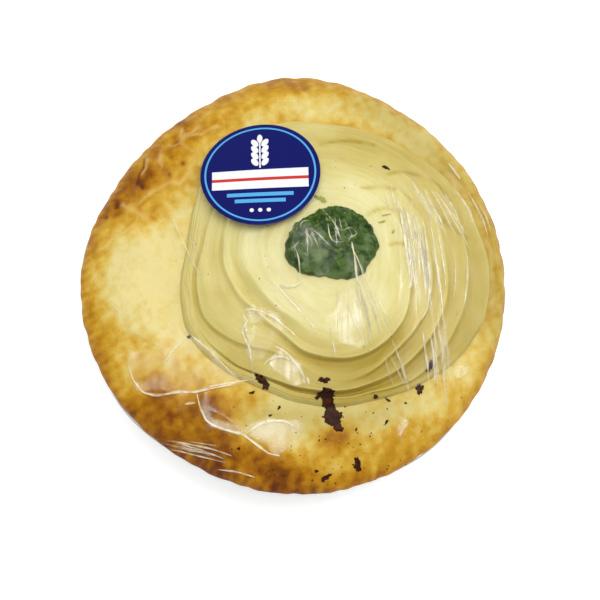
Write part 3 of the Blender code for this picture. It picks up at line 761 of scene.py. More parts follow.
# Thin smears of pea beside the spoonful: X, Y, half length, half width in millimetres and turn in degrees
PEA_SMEARS = (
    (6.5, 19.6, 2.0, 0.8, 150), (25.5, 13.0, 1.2, 0.35, 20), (29.0, 10.0, 0.7, 0.3, 60), (27.0, 15.5, 1.5, 0.25, 15),
)


def make_peas():
    """Builds the heap of mush, in which the burst peas are lumps and their skins are crumbs."""
    angles = columns_of(PEA_COLUMNS)
    ragged = 0.22 * np.cos(9 * angles + 1) + 0.15 * np.cos(16 * angles) + 0.12 * np.cos(27 * angles + 2)
    outline = around(PEA_OUTLINE, angles) * MM + (ragged - 0.4) * MM
    mash_outline = around(MASH_OUTLINE, angles) * MM
    mash_edge = mash_foot(angles) + MASH_EDGE
    draw = np.random.default_rng(7)
    lump_angle = draw.uniform(0, TURN, PEA_LUMPS)
    lump_radius = np.sqrt(draw.uniform(0.02, 0.85, PEA_LUMPS)) * around(PEA_OUTLINE, lump_angle) * MM
    lump_rise = draw.uniform(0.5, 1.0, PEA_LUMPS)
    crumb_angle = draw.uniform(0, TURN, PEA_CRUMBS)
    crumb_radius = np.sqrt(draw.uniform(0, 1, PEA_CRUMBS)) * around(PEA_OUTLINE, crumb_angle) * MM
    crumb_size = draw.uniform(0.5, 1.3, PEA_CRUMBS) * MM

    def raised(x, y, places, out, size, rise):
        total = np.zeros_like(x)
        for a, r, reach, up in zip(places, out, size, rise):
            away = ((x - r * math.cos(a)) ** 2 + (y - r * math.sin(a)) ** 2) / reach ** 2
            total = np.maximum(total, up * np.clip(1 - away, 0, 1))
        return total

    def mash_under(radius):
        return mash_edge + (MASH_CROWN - mash_edge) * (1 - (radius / mash_outline) ** 1.8)

    under = 0.1 * MM
    rings, tops, pastes = [], [], []
    for share in (0.35, 0.7, 0.97):
        rings.append(ring(angles, outline * share, mash_under(outline * share) + under, MASH_MIDDLE))
        tops.append(np.zeros(PEA_COLUMNS))
        pastes.append(np.zeros(PEA_COLUMNS))
    for share in np.linspace(1, 0.03, 56) ** 0.8:
        radius = outline * share
        x, y = radius * np.cos(angles), radius * np.sin(angles)
        lumps = raised(x, y, lump_angle, lump_radius, [PEA_LUMP_RADIUS] * PEA_LUMPS, lump_rise)
        crumbs = raised(x, y, crumb_angle, crumb_radius, crumb_size, 0.42 * crumb_size)
        dome = np.sqrt(np.clip(1 - share ** 2, 0, 1))
        heap = PEA_HEIGHT * (0.55 * dome + 0.45 * lumps * smoothstep(0, 0.6, dome))
        world_x, world_y = x + MASH_MIDDLE[0], y + MASH_MIDDLE[1]
        wavy = 0.25 * ripple(world_x, world_y, 3.5 * MM, 71)
        paste_and_painted_sheen = smoothstep(0.25, 0.7, patches(world_x, world_y, PEA_PASTE) + wavy)
        crumbs = crumbs * smoothstep(0, 0.35, dome) * (1 - 0.8 * paste_and_painted_sheen)
        height = mash_under(radius) + under + 0.4 * MM * smoothstep(0, 0.2, dome) + heap + crumbs
        rings.append(ring(angles, radius, height, MASH_MIDDLE))
        tops.append(smoothstep(0.2, 0.45, dome) * (1 - 0.93 * paste_and_painted_sheen))
        pastes.append(paste_and_painted_sheen)
    peas = ring_piece("mushy_pea_heap", rings)
    keep_attribute(peas, "strewn", tops)
    keep_attribute(peas, "paste_and_painted_sheen", pastes)
    return peas


def scatter_tree(name, material, flatness, sharp):
    """Strews small uneven bits over a surface, most where the named attribute is highest."""
    tree, entry = new_shape_tree(name, {
        "Density": "NodeSocketFloat", "Smallest": "NodeSocketFloat", "Largest": "NodeSocketFloat",
        "Seed": "NodeSocketInt"})
    where = add_node(tree, "GeometryNodeInputNamedAttribute", {"Name": "strewn"}, data_type="FLOAT")
    density = add_node(tree, "ShaderNodeMath", {
        0: where, 1: entry.outputs["Density"]}, operation="MULTIPLY")
    places = add_node(tree, "GeometryNodeDistributePointsOnFaces", {
        "Mesh": entry.outputs["Geometry"], "Density": density, "Seed": entry.outputs["Seed"]})
    bit = add_node(tree, "GeometryNodeMeshIcoSphere", {"Radius": 1.0, "Subdivisions": 1 if sharp else 2})
    bit = add_node(tree, "GeometryNodeSetShadeSmooth", {"Geometry": bit, "Shade Smooth": not sharp})
    turn = add_node(tree, "FunctionNodeRandomValue", {
        0: (-0.5, -0.5, 0), 1: (0.5, 0.5, TURN), "Seed": 3}, data_type="FLOAT_VECTOR")
    size = add_node(tree, "FunctionNodeRandomValue", {
        2: entry.outputs["Smallest"], 3: entry.outputs["Largest"], "Seed": 5}, data_type="FLOAT")
    shape = add_node(tree, "FunctionNodeRandomValue", {
        0: (0.5, 0.9, flatness * 0.7), 1: (1.0, 1.5, flatness * 1.3), "Seed": 8}, data_type="FLOAT_VECTOR")
    scale = add_node(tree, "ShaderNodeVectorMath", {
        0: shape, "Scale": size.outputs[1]}, operation="SCALE")
    placed = add_node(tree, "GeometryNodeInstanceOnPoints", {
        "Points": places, "Instance": bit, "Rotation": turn,
        "Scale": scale})
    chance = add_node(tree, "FunctionNodeRandomValue", {"Seed": 11}, data_type="FLOAT")
    shaded = add_node(tree, "GeometryNodeStoreNamedAttribute", {
        "Geometry": placed, "Name": "shade", "Value": chance.outputs[1]},
        data_type="FLOAT", domain="INSTANCE")
    return end_shape_tree(tree, shaded, material)


def scatter(name, ground, tree, sizes):
    """Strews bits over a copy of the ground piece and keeps only the bits."""
    bits = put_in_scene(name, ground.data.copy())
    shape_with(bits, tree, sizes)
    return settle(bits, name)


def crushed_pea():
    """Cooked marrowfat pea: dull green skins in a wetter, darker mush, with a moist shine."""
    material, tree, shader = new_finish("crushed_green_pea")
    place = add_node(tree, "ShaderNodeTexCoord").outputs["Object"]
    shade = add_node(tree, "ShaderNodeAttribute", attribute_name="shade").outputs["Fac"]
    patch = add_node(tree, "ShaderNodeTexNoise", {"Vector": place, "Scale": 260, "Detail": 6, "Roughness": 0.7})
    level = add_node(tree, "ShaderNodeMath", {0: shade, 1: 0.16, 2: patch}, operation="MULTIPLY_ADD")
    ramp = add_node(tree, "ShaderNodeValToRGB", {"Fac": level})
    fill_ramp(ramp, ((0.3, "#0f2002"), (0.48, "#264404"), (0.64, "#46640c"), (0.85, "#7d942a")))
    # Painted sheen: the pressed paste is paler and greyer, its own colour with the film's sheen painted into it
    paste_and_painted_sheen = add_node(tree, "ShaderNodeAttribute", attribute_name="paste_and_painted_sheen").outputs["Fac"]
    soft = add_node(tree, "ShaderNodeTexNoise", {"Vector": place, "Scale": 240, "Detail": 3})
    mush = add_node(tree, "ShaderNodeValToRGB", {"Fac": soft})
    fill_ramp(mush, ((0.3, "#364e18"), (0.5, "#4e6630"), (0.72, "#6c7f4b")))
    skin = add_node(tree, "ShaderNodeMix", {
        0: paste_and_painted_sheen, 6: ramp, 7: mush}, data_type="RGBA")
    grain = add_node(tree, "ShaderNodeTexNoise", {"Vector": place, "Scale": 1100, "Detail": 3})
    bump = add_node(tree, "ShaderNodeBump", {"Height": grain, "Strength": 0.5, "Distance": 0.25 * MM})
    fill_inputs(tree, shader, {
        "Base Color": skin.outputs[2], "Normal": bump, "Roughness": 0.42, "Specular IOR Level": 0.3,
        "Subsurface Weight": 0.06, "Subsurface Scale": 0.002, "Subsurface Radius": (0.5, 1.0, 0.25)})
    return material


pea_green = crushed_pea()
peas = make_peas()
peas.data.materials.append(pea_green)
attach(peas, "root")
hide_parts("mushy_peas")
pea_bits = scatter("crushed_pea_bits", peas, scatter_tree("pea_bits", pea_green, 0.35, False), {
    "Density": PEA_BITS_ON_A_METRE, "Smallest": 0.4 * MM, "Largest": 1.1 * MM, "Seed": 5})
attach(pea_bits, "root")


# The gravy marks are filling that boiled out of the lid in the oven and baked on: dark, thin and ragged, with
# fine specks of it spat over the near side of the crust. The green smears are thinner marks of the peas.
GRAVY_HEIGHT = 0.34 * MM
SPECKS_ON_A_METRE = 190000.0
PEPPER_ON_A_METRE = 7000.0
# Each mark: X, Y, half length, half width in millimetres, and its turn in degrees
GRAVY_MARKS = (
    (-11.4, -35.3, 1.7, 1.0, 145), (-9.7, -36.9, 1.5, 0.9, 110), (8.2, -35.9, 1.5, 0.75, 5), (6.9, -35.6, 0.8, 0.5, 30),
    (8.7, -39.5, 2.6, 1.2, 5), (9.2, -41.4, 2.0, 1.7, 95), (10.3, -44.2, 2.2, 1.8, 100), (10.8, -46.2, 2.8, 1.7, 10),
    (11.8, -48.1, 2.2, 1.6, 120), (13.0, -49.5, 1.3, 1.0, 125), (6.1, -40.8, 0.9, 0.5, 30),
    (37.9, -37.1, 1.5, 1.1, 80), (40.8, -30.2, 1.5, 0.8, 60), (40.2, -31.6, 0.8, 0.5, 40),
    (18.5, -59.2, 1.1, 0.7, 100), (18.9, -60.6, 1.6, 1.0, 95), (9.4, -64.0, 1.6, 0.6, 30), (8.4, -64.8, 0.8, 0.5, 60),
    (-33.2, -22.0, 0.6, 0.45, 0), (24.0, -40.1, 0.7, 0.5, 0), (28.0, -40.7, 0.9, 0.35, 150), (6.2, -62.4, 0.6, 0.4, 0),
    (-13.7, -39.1, 0.9, 0.4, 20), (27.7, 32.8, 1.2, 0.5, 155), (-5.4, -43.6, 0.7, 0.35, 60),
    (27.4, -47.6, 0.9, 0.35, 60), (-8.1, -46.0, 0.6, 0.3, 20), (33.5, -41.5, 0.4, 0.3, 0),
    (18.1, -50.0, 0.5, 0.25, 70), (-17.5, -56.0, 0.5, 0.4, 0),
)
# A scab from its hidden rim to its middle: shares of its half sizes and of its height
MARK_PROFILE = ((0.55, -0.5), (1.0, -0.5), (1.06, 0.0), (0.98, 0.55), (0.9, 0.85), (0.8, 1.0), (0.7, 1.05),
                (0.6, 1.05), (0.5, 1.05), (0.4, 1.05), (0.3, 1.05), (0.15, 1.05))


def all_faces(pieces):
    """The points and faces of several pieces, numbered as one mesh."""
    points, faces = [], []
    for piece in pieces:
        start = len(points)
        points += [v.co[:] for v in piece.data.vertices]
        faces += [[start + v for v in face.vertices] for face in piece.data.polygons]
    return points, faces


def merged(name, pieces):
    """Makes one piece of several and removes them."""
    whole = smooth_piece(name, *all_faces(pieces))
    for piece in pieces:
        bpy.data.objects.remove(piece, do_unlink=True)
    return whole


def surface_tree(*pieces):
    """A search tree over the pieces' faces, to find where a line from above first meets the food."""
    return BVHTree.FromPolygons(*all_faces(pieces))


def heights_on(tree, x, y, elsewhere=30 * MM):
    """The height of the surface at each place, or the given one where there is no surface."""
    above, down = 100 * MM, Vector((0, 0, -1))
    hits = (tree.ray_cast((px, py, above), down)[0] for px, py in zip(x.ravel().tolist(), y.ravel().tolist()))
    return np.array([elsewhere if hit is None else hit.z for hit in hits]).reshape(x.shape)


def ragged_marks(name, tree, marks, height, seed):
    """Thin scabs with uneven edges that lie on the surface, a little sunk into it all round."""
    draw = np.random.default_rng(seed)
    angles = columns_of(48)
    made = []
    for x, y, long, wide, turn in marks:
        a = math.radians(turn)
        uneven = 1
        for bays, part, phase in zip((3, 5, 8, 13), (0.14, 0.12, 0.09, 0.07), draw.uniform(0, TURN, 4)):
            uneven = uneven + part * np.cos(bays * angles + phase)
        rings = []
        for share, up in MARK_PROFILE:
            along, across = long * MM * share * uneven * np.cos(angles), wide * MM * share * uneven * np.sin(angles)
            px = x * MM + along * math.cos(a) - across * math.sin(a)
            py = y * MM + along * math.sin(a) + across * math.cos(a)
            rings.append(np.stack((px, py, heights_on(tree, px, py) + up * height), axis=1))
        made.append(ring_piece("mark", rings))
    return merged(name, made)


def baked_gravy():
    """Meat gravy dried in the oven: nearly black where it is thick, red-brown where it is thin."""
    material, tree, shader = new_finish("baked_on_gravy")
    place = add_node(tree, "ShaderNodeTexCoord").outputs["Object"]
    tone = add_node(tree, "ShaderNodeTexNoise", {"Vector": place, "Scale": 700, "Detail": 3})
    ramp = add_node(tree, "ShaderNodeValToRGB", {"Fac": tone})
    fill_ramp(ramp, ((0.3, "#220b03"), (0.55, "#3f1c08"), (0.8, "#5a270d")))
    bump = add_node(tree, "ShaderNodeBump", {"Height": tone, "Strength": 0.6, "Distance": 0.2 * MM})
    fill_inputs(tree, shader, {"Base Color": ramp, "Normal": bump, "Roughness": 0.5, "Specular IOR Level": 0.1})
    return material


def pea_juice():
    """A thin smear of pea on the mash: olive, as the pale mash shows through it."""
    material, tree, shader = new_finish("smeared_pea")
    fill_inputs(tree, shader, {"Base Color": colour("#a3a044"), "Roughness": 0.5})
    return material


food = surface_tree(crust, mash, peas)
gravy = baked_gravy()
marks = ragged_marks("baked_gravy_marks", food, GRAVY_MARKS, GRAVY_HEIGHT, 3)
marks.data.materials.append(gravy)
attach(marks, "root")
smears = ragged_marks("pea_smears", food, PEA_SMEARS, 0.15 * MM, 9)
smears.data.materials.append(pea_juice())
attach(smears, "root")
speck_tree = scatter_tree("specks", gravy, 0.4, True)
specks = scatter("gravy_specks", crust, speck_tree, {
    "Density": SPECKS_ON_A_METRE, "Smallest": 0.12 * MM, "Largest": 0.36 * MM, "Seed": 2})
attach(specks, "root")
pepper = scatter("mash_specks", mash, speck_tree, {
    "Density": PEPPER_ON_A_METRE, "Smallest": 0.1 * MM, "Largest": 0.24 * MM, "Seed": 6})
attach(pepper, "root")


# The film is one sheet of thin clear wrap, pulled tight over the top and gathered under the tin. It touches the
# food's high places, bridges the hollows, and stands in fine creases where it is pulled.
FILM_THICKNESS = 0.05 * MM
FILM_CLEAR = 0.16 * MM
FILM_COLUMNS = 432
FILM_ROWS = 88
FILM_GRID = 0.5 * MM
FILM_GRID_WIDTH = 144 * MM
FILM_PULLS = 420
FILM_HOLE = 13 * MM
# The sticker's size, fall and sag are stated here because the film has to pass under it
STICKER_RADIUS = 18.5 * MM
STICKER_FALL = (0.235, -0.285)
STICKER_SAG = 1.3 * MM
# Where the film hangs clear: each pocket's outline in millimetres, how milky it is, how high it stands, how glossy. The
# milk is the film's own haze with painted glare
FILM_POCKETS = (
    (((-52.5, -27.2), (-45.2, -25.8), (-38.0, -18.0), (-31.0, -24.0), (-17, -35.5), (-29, -38.5), (-42, -38.8),
      (-47.9, -38.4), (-52.0, -33.2)),
     0.08, 0.3, 0.3),
    (((-16.4, -49.9), (-13.7, -48.3), (-10.7, -47.4), (-7.6, -46.8), (-4.6, -47.0), (-1.6, -48.5), (1.5, -49.7),
      (2.4, -52.1), (0.0, -53.6), (-3.0, -55.7), (-5.1, -57.8), (-8.1, -56.9), (-10.6, -54.6), (-14.2, -52.2)),
     0.34, 0.3, 0.9),
    (((-28.3, -39.9), (-27.4, -44.2), (-25.5, -47.2), (-21.8, -49.0), (-16.4, -49.9), (-14.2, -52.2), (-17.3, -51.6),
      (-22.1, -50.8), (-26.4, -49.3), (-28.8, -45.1)),
     0.3, 0.2, 0.9),
    (((-3.4, 10.5), (0.5, 11.5), (6.5, 9.5), (7.0, 4.0), (11.5, -1.5), (8.0, -5.5), (1.0, -3.5), (-3.0, 1.0)),
     0.02, 0.4, 0.26),
    (((12.5, 1.5), (18.5, 1.0), (22.5, -3.0), (19.5, -6.5), (16.5, -7.0), (14.0, -3.0)), 0.02, 0.2, 0.14),
    (((-17.0, -16.0), (-8.0, -15.5), (-2.0, -22.5), (-8.0, -19.5), (-14.0, -19.0)), 0.05, 0.2, 0.8),
    (((-17.0, -20.0), (-12.0, -20.0), (-6.0, -22.5), (-8.5, -27.0), (-14.0, -30.0)), 0.02, 0.1, 0.3),
    (((-10.3, -31.3), (-8.5, -28.8), (-4.5, -27.2), (-2.1, -29.3), (0.3, -32.4), (2.2, -36.4), (-0.6, -36.5),
      (-4.2, -35.0), (-7.9, -33.2)),
     0.08, 0.2, 1.6),
    (((14.2, -9.2), (15.7, -9.2), (18.4, -15.7), (20.7, -24.5), (17.5, -26.6), (12.0, -25.2), (8.6, -23.0),
      (8.0, -20.6), (11.0, -14.3)),
     0.05, 0.2, 1.1),
    (((30.5, 33.5), (41.5, 40.5), (53.8, 30.7), (62.7, 12.1), (64.0, -10.1), (55.6, -26.5), (43.0, -34.0),
      (35.3, -37.3), (30.9, -26.4), (34.9, -10.6), (33.1, 5.5), (29.3, 20.2)),
     0.02, 0.1, 0.1),
    (((31.6, -46.0), (33.5, -46.0), (34.2, -51.5), (32.3, -53.0)), 0.15, 0.2, 0.9),
    (((48.3, -29.5), (53.5, -30.0), (53.0, -33.5), (49.0, -33.0)), 0.1, 0.2, 0.5),
)
# Single creases: the places that each runs through, in millimetres, and how high it stands in tenths of one
FILM_CREASES = (
    (((-17.1, -15.9), (-15.5, -24), (-13.3, -35.9)), 3.0),
    (((-16.5, -14.3), (-9.5, -15.5), (-2.9, -21.8)), 3.5),
    (((-16.8, -15.0), (-13.0, -19.0), (-15.2, -26.5), (-12.5, -33.0)), 2.5),
    (((-11.2, -38.9), (-8.0, -34.5), (-2.6, -33.0), (0.1, -36.5)), 3.0),
    (((-10.2, -3.9), (-2.9, -4.6), (-2.2, 0.9), (-4.4, 7.4)), 3.0),
    (((-29.6, -38.2), (-21.0, -36.8), (-12.8, -35.5)), 3.0),
    (((-44.8, -37.2), (-36.0, -39.6), (-28.0, -38.9), (-27.5, -43.4), (-19.8, -48.6), (-12.5, -52.8),
      (-3.6, -58.2)), 3.0),
    (((-57.8, -10.3), (-51.4, -19.7), (-42.0, -25.8)), 1.6),
    (((-35.5, -19.5), (-28.0, -26.0), (-17.4, -36.4)), 1.6),
    (((46.5, 27.0), (50.5, 19.5), (53.0, 11.0)), 2.0),
    (((49.5, 31.0), (55.0, 22.0), (58.5, 12.0)), 2.0),
)
# Fans of creases: both ends' first and last places in millimetres, how many, and how high in tenths of one
FILM_FANS = (
    ((30.0, 25.0), (41.0, 21.4), (32.0, -20.0), (46.0, -26.0), 9, 2.6),
    ((33.0, 22.0), (37.0, 20.0), (35.0, -6.0), (39.0, -12.0), 4, 3.2),
    ((15.9, -4.0), (18.6, -1.5), (18.5, -27.5), (30.0, -28.5), 6, 3.4),
    ((12.5, -8.0), (15.0, -6.5), (9.0, -25.0), (15.0, -26.5), 3, 2.6),
    ((40.0, -16.0), (45.0, -15.0), (42.5, -41.0), (48.5, -36.0), 5, 2.4),
    ((26.0, -27.0), (28.5, -26.0), (32.0, -40.0), (36.0, -38.0), 3, 2.2),
    ((34.0, 31.0), (45.0, 25.0), (42.0, 13.0), (56.0, 4.0), 8, 1.6),
    ((-41.5, 17.0), (-38.5, 18.5), (-33.0, -8.0), (-29.0, -3.0), 3, 0.9),
    ((9.5, 13.0), (12.5, 12.0), (11.0, 3.0), (16.5, 4.5), 4, 3.4),
    ((0.5, 9.5), (3.0, 8.0), (1.5, -1.0), (7.0, 1.0), 4, 3.2),
    ((-40.5, -52.0), (-41.0, -54.5), (-19.5, -57.5), (-18.0, -62.0), 5, 1.4),
)
# Folds where the film has doubled up: each one's width in millimetres, how white it is as a painted highlight, and its
# places
FILM_FOLDS = (
    (0.95, 0.86, ((-51.5, -30.8), (-49.9, -35.4), (-47.0, -39.0), (-42.8, -40.2), (-35.6, -39.2),
                 (-31.1, -39.4), (-25.1, -38.1), (-17.5, -36.7))),
    (0.95, 0.46, ((-40.9, -31.2), (-38.3, -27.1), (-35.0, -23.6))),
    (1.12, 0.93, ((-30.5, -39.7), (-29.5, -44.0), (-27.6, -48.0), (-24.9, -49.7), (-22.8, -50.3),
                 (-19.8, -51.2), (-16.1, -52.1), (-13.7, -53.9), (-11.0, -55.9), (-8.3, -57.7), (-5.0, -58.3))),
    (1.29, 0.73, ((-14.6, -51.4), (-11.9, -49.3), (-8.3, -48.0), (-4.1, -47.9), (-1.1, -49.4))),
    (1.12, 0.66, ((-34.0, -42.9), (-30.7, -42.6))),
    (0.69, 0.59, ((-39.0, -53.3), (-32.3, -54.7), (-25.3, -56.2), (-19.5, -58.2))),
    (0.69, 0.59, ((-23.7, -62.0), (-17.6, -62.8), (-12.4, -64.3))),
    (0.53, 0.53, ((-36.5, -54.8), (-30.4, -56.5), (-26.1, -58.0))),
    (0.86, 0.93, ((-16.7, -15.7), (-15.2, -15.0), (-12.5, -15.6), (-10.0, -16.5), (-7.0, -18.3), (-4.9, -20.2),
                 (-2.7, -21.7), (-1.2, -23.2))),
    (0.78, 0.93, ((-16.7, -15.7), (-17.0, -17.3), (-15.5, -18.5), (-17.0, -20.4), (-17.3, -21.9),
                 (-16.3, -24.1), (-15.1, -26.0), (-14.5, -28.4), (-14.2, -31.2))),
    (1.12, 0.8, ((-10.4, -31.6), (-8.9, -30.0), (-6.8, -29.4), (-4.7, -29.3), (-2.6, -30.2))),
    (0.95, 0.93, ((-7.5, -26.2), (-5.7, -26.8), (-3.6, -28.3), (-1.7, -30.4), (0.4, -32.9), (1.6, -35.0),
                 (1.9, -37.2))),
    (1.29, 0.93, ((2.6, -35.1), (2.9, -36.0), (3.2, -37.3))),
    (0.59, 0.88, ((-1.3, 0.9), (-0.7, -1.0), (-0.4, -3.2), (-0.1, -5.7), (-0.1, -7.9))),
    (1.29, 0.86, ((0.0, -7.6), (-1.8, -8.6), (-3.9, -8.3), (-6.1, -8.1))),
    (0.95, 0.59, ((-10.6, -5.3), (-8.5, -7.2), (-6.4, -9.0), (-3.9, -11.8), (-1.5, -14.3), (1.2, -17.3),
                 (3.6, -19.8), (5.4, -22.5))),
    (0.61, 0.93, ((9.1, -19.4), (9.4, -21.2), (10.0, -24.0), (10.6, -26.5), (11.1, -28.9))),
    (0.69, 0.73, ((14.0, -13.6), (15.5, -16.4), (17.0, -19.8), (18.8, -22.9), (20.2, -26.0))),
    (0.69, 0.93, ((15.9, -8.2), (16.7, -11.4), (17.9, -15.4), (19.4, -20.4), (20.8, -25.7))),
    (0.78, 0.93, ((15.3, 3.9), (16.1, -0.6), (16.7, -5.0), (18.2, -11.6), (19.9, -17.8))),
    (0.61, 0.8, ((18.1, -2.5), (19.8, -8.2), (22.2, -14.4), (24.0, -18.8), (25.4, -22.2))),
    (0.53, 0.66, ((18.4, -2.5), (21.1, -8.8), (24.0, -15.3), (27.3, -22.1))),
    (1.20, 0.53, ((30.3, -28.0), (31.5, -30.5), (32.3, -33.3), (33.2, -35.7), (34.1, -38.2))),
    (0.79, 0.53, ((28.4, -23.6), (29.9, -27.0), (31.3, -30.4))),
    (1.01, 0.95, ((31.3, 18.9), (31.9, 12.7), (32.7, 6.2), (33.5, -0.6), (34.2, -7.9))),
    (0.69, 0.66, ((32.6, 20.9), (33.1, 14.3), (33.6, 7.8), (34.1, 0.7), (34.6, -7.3))),
    (0.90, 0.8, ((36.3, 17.0), (37.1, 9.5), (37.9, 2.1), (38.6, -4.9), (39.1, -10.4))),
    (1.01, 0.86, ((38.8, 16.4), (39.3, 9.6), (39.8, 3.1), (40.2, -3.3), (40.1, -8.1), (39.4, -13.8),
                 (37.4, -17.3))),
    (0.79, 0.8, ((43.3, 14.2), (44.1, 8.4), (44.9, 2.6), (45.4, -1.9), (45.6, -6.1))),
    (0.69, 0.59, ((48.9, 6.2), (49.1, 1.7), (48.9, -4.1), (48.2, -9.6))),
    (0.79, 0.66, ((53.3, 5.7), (53.2, 0.8), (52.7, -4.7), (51.9, -10.5))),
    (0.79, 0.8, ((28.7, 27.4), (29.2, 22.1), (30.1, 16.5))),
    (0.53, 0.8, ((27.0, 24.0), (27.6, 19.4), (28.2, 15.5))),
    (0.79, 0.8, ((30.7, 20.5), (31.6, 15.6), (32.1, 11.0))),
    (1.01, 0.95, ((33.2, 18.9), (34.1, 13.7), (34.9, 7.8))),
    (0.69, 0.8, ((35.4, 16.0), (35.9, 11.8), (36.4, 7.9))),
    (1.01, 0.95, ((43.9, 18.2), (44.5, 16.6), (45.1, 15.0))),
    (0.90, 0.8, ((38.0, -20.4), (38.5, -23.9), (39.1, -27.6), (39.9, -31.7), (40.4, -35.4))),
    (0.90, 0.8, ((40.4, -21.6), (41.3, -25.4), (41.8, -29.2), (42.0, -32.3), (42.3, -35.1))),
    (0.69, 0.66, ((44.5, -22.0), (44.7, -25.5), (44.6, -28.6), (45.1, -33.0), (45.6, -37.4), (46.4, -42.7))),
    (1.01, 0.73, ((49.1, 38.0), (51.0, 35.3), (52.9, 32.6))),
    (0.69, 0.59, ((55.0, 29.0), (57.4, 24.3), (59.8, 19.0), (61.5, 13.4))),
    (0.69, 0.53, ((58.7, 25.3), (60.8, 20.7), (62.6, 15.4))),
    (0.42, 0.88, ((6.6, 14.9), (7.5, 12.7), (8.1, 9.1), (8.4, 5.9), (9.3, 4.0), (11.5, 3.5), (13.0, 4.1))),
    (0.34, 0.8, ((7.5, 13.6), (9.1, 11.1), (10.3, 8.9), (11.8, 7.3), (12.7, 7.6))),
    (0.29, 0.73, ((12.7, 7.3), (13.7, 8.3), (15.2, 8.7), (16.4, 7.7), (17.0, 6.5), (15.5, 5.8), (14.5, 5.1),
                 (14.2, 4.2))),
    (0.29, 0.8, ((0.8, 6.7), (2.3, 5.8), (3.2, 4.2), (3.5, 2.9), (2.6, 2.0))),
    (0.26, 0.73, ((-0.1, 8.0), (-0.1, 10.2), (1.1, 11.2), (2.6, 11.2))),
    (0.26, 0.65, ((-0.4, 4.4), (-2.0, 3.1), (-2.9, 1.8))),
    (0.34, 0.95, ((15.1, 3.9), (15.7, 1.3), (16.3, -1.2), (17.2, -4.4))),
    (0.42, 0.95, ((14.8, 3.2), (16.3, 0.4), (18.1, -2.8), (19.6, -6.5))),
    (0.26, 0.65, ((-1.0, 0.6), (-2.3, 2.2), (-0.4, 3.8), (1.1, 2.6))),
)


def in_pocket(x, y, outline):
    """The distance to a pocket's edge, positive inside it."""
    closed = np.asarray(outline + outline[:1])
    away = from_line(x, y, closed)[0]
    inside = np.zeros(x.shape, bool)
    for (x0, y0), (x1, y1) in zip(closed[:-1] * MM, closed[1:] * MM):
        crosses = (y0 > y) != (y1 > y)
        inside ^= crosses & (x < x0 + (y - y0) / (y1 - y0 if y1 != y0 else 1) * (x1 - x0))
    return np.where(inside, away, -away)


def creases():
    """Every crease as a line, its height and its width."""
    for line, tenths in FILM_CREASES:
        yield line, 0.1 * MM * tenths, 0.55 * MM
    draw = np.random.default_rng(17)
    for first_start, last_start, first_end, last_end, count, tenths in FILM_FANS:
        for share in np.linspace(0, 1, count):
            start = np.add(first_start, np.subtract(last_start, first_start) * share) + draw.normal(0, 0.5, 2)
            end = np.add(first_end, np.subtract(last_end, first_end) * share) + draw.normal(0, 1.2, 2)
            cut = np.sort(draw.uniform(0, 0.45, 2))
            low, high = start + (end - start) * cut[0], end - (end - start) * cut[1] * 0.6
            middle = (low + high) / 2 + draw.normal(0, 0.35, 2)
            yield (low, middle, high), 0.1 * MM * tenths * draw.uniform(0.5, 1.15), draw.uniform(0.4, 0.6) * MM


def taut_film(tree):
    """Lays the film on a grid: it rests on the food where that is high and pulls straight across the hollows."""
    size = int(FILM_GRID_WIDTH / FILM_GRID) + 1
    line = (np.arange(size) - size // 2) * FILM_GRID
    x, y = np.meshgrid(line, line, indexing="ij")
    beyond = TIN_HEIGHT + 1.9 * MM
    rest = heights_on(tree, x, y, beyond)
    rest = np.maximum(rest, beyond) + FILM_CLEAR
    sheet = rest.copy()

    def pull():
        sheet[1:-1, 1:-1] = (sheet[:-2, 1:-1] + sheet[2:, 1:-1] + sheet[1:-1, :-2] + sheet[1:-1, 2:]) / 4

    for _ in range(FILM_PULLS):
        pull()
        np.maximum(rest, sheet, out=sheet)
    pull()
    pull()
    return line, sheet, sheet - rest


def read_grid(line, values, x, y):
    """Reads a grid's values between its points."""
    u, v = (x - line[0]) / FILM_GRID, (y - line[0]) / FILM_GRID
    i, j = np.clip(u.astype(int), 0, len(line) - 2), np.clip(v.astype(int), 0, len(line) - 2)
    s, t = u - i, v - j
    return ((values[i, j] * (1 - s) + values[i + 1, j] * s) * (1 - t)
            + (values[i, j + 1] * (1 - s) + values[i + 1, j + 1] * s) * t)


def sticker_under(x, y):
    """The height of the sticker's underside over a place, and how far out that lies in its radii."""
    low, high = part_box("sticker")
    middle = ((low[0] + high[0]) / 2, (low[1] + high[1]) / 2)
    x, y = x - middle[0], y - middle[1]
    slope = math.hypot(*STICKER_FALL)
    along = (x * STICKER_FALL[0] + y * STICKER_FALL[1]) / slope / STICKER_RADIUS
    height = STICKER_FALL[0] * x + STICKER_FALL[1] * y - STICKER_SAG * along ** 2
    turns = columns_of(360)
    rim = STICKER_RADIUS * (STICKER_FALL[0] * np.cos(turns) + STICKER_FALL[1] * np.sin(turns))
    rim = rim - STICKER_SAG * (rim / slope / STICKER_RADIUS) ** 2
    return height - rim.min() + low[2], np.hypot(x, y) / STICKER_RADIUS


def film_edge(way):
    """How far each way the film runs from the middle of the mash, and the angle round the pie where it ends."""
    reach = np.full(FILM_COLUMNS, 60 * MM)

    def end():
        edge = np.asarray(MASH_MIDDLE) + way * reach[:, None]
        return np.hypot(*edge.T), np.arctan2(edge[:, 1], edge[:, 0])

    for _ in range(40):
        out, angles = end()
        reach += around(PIE_OUTLINE, angles) * MM + 0.1 * MM - out
    return reach, end()[1]


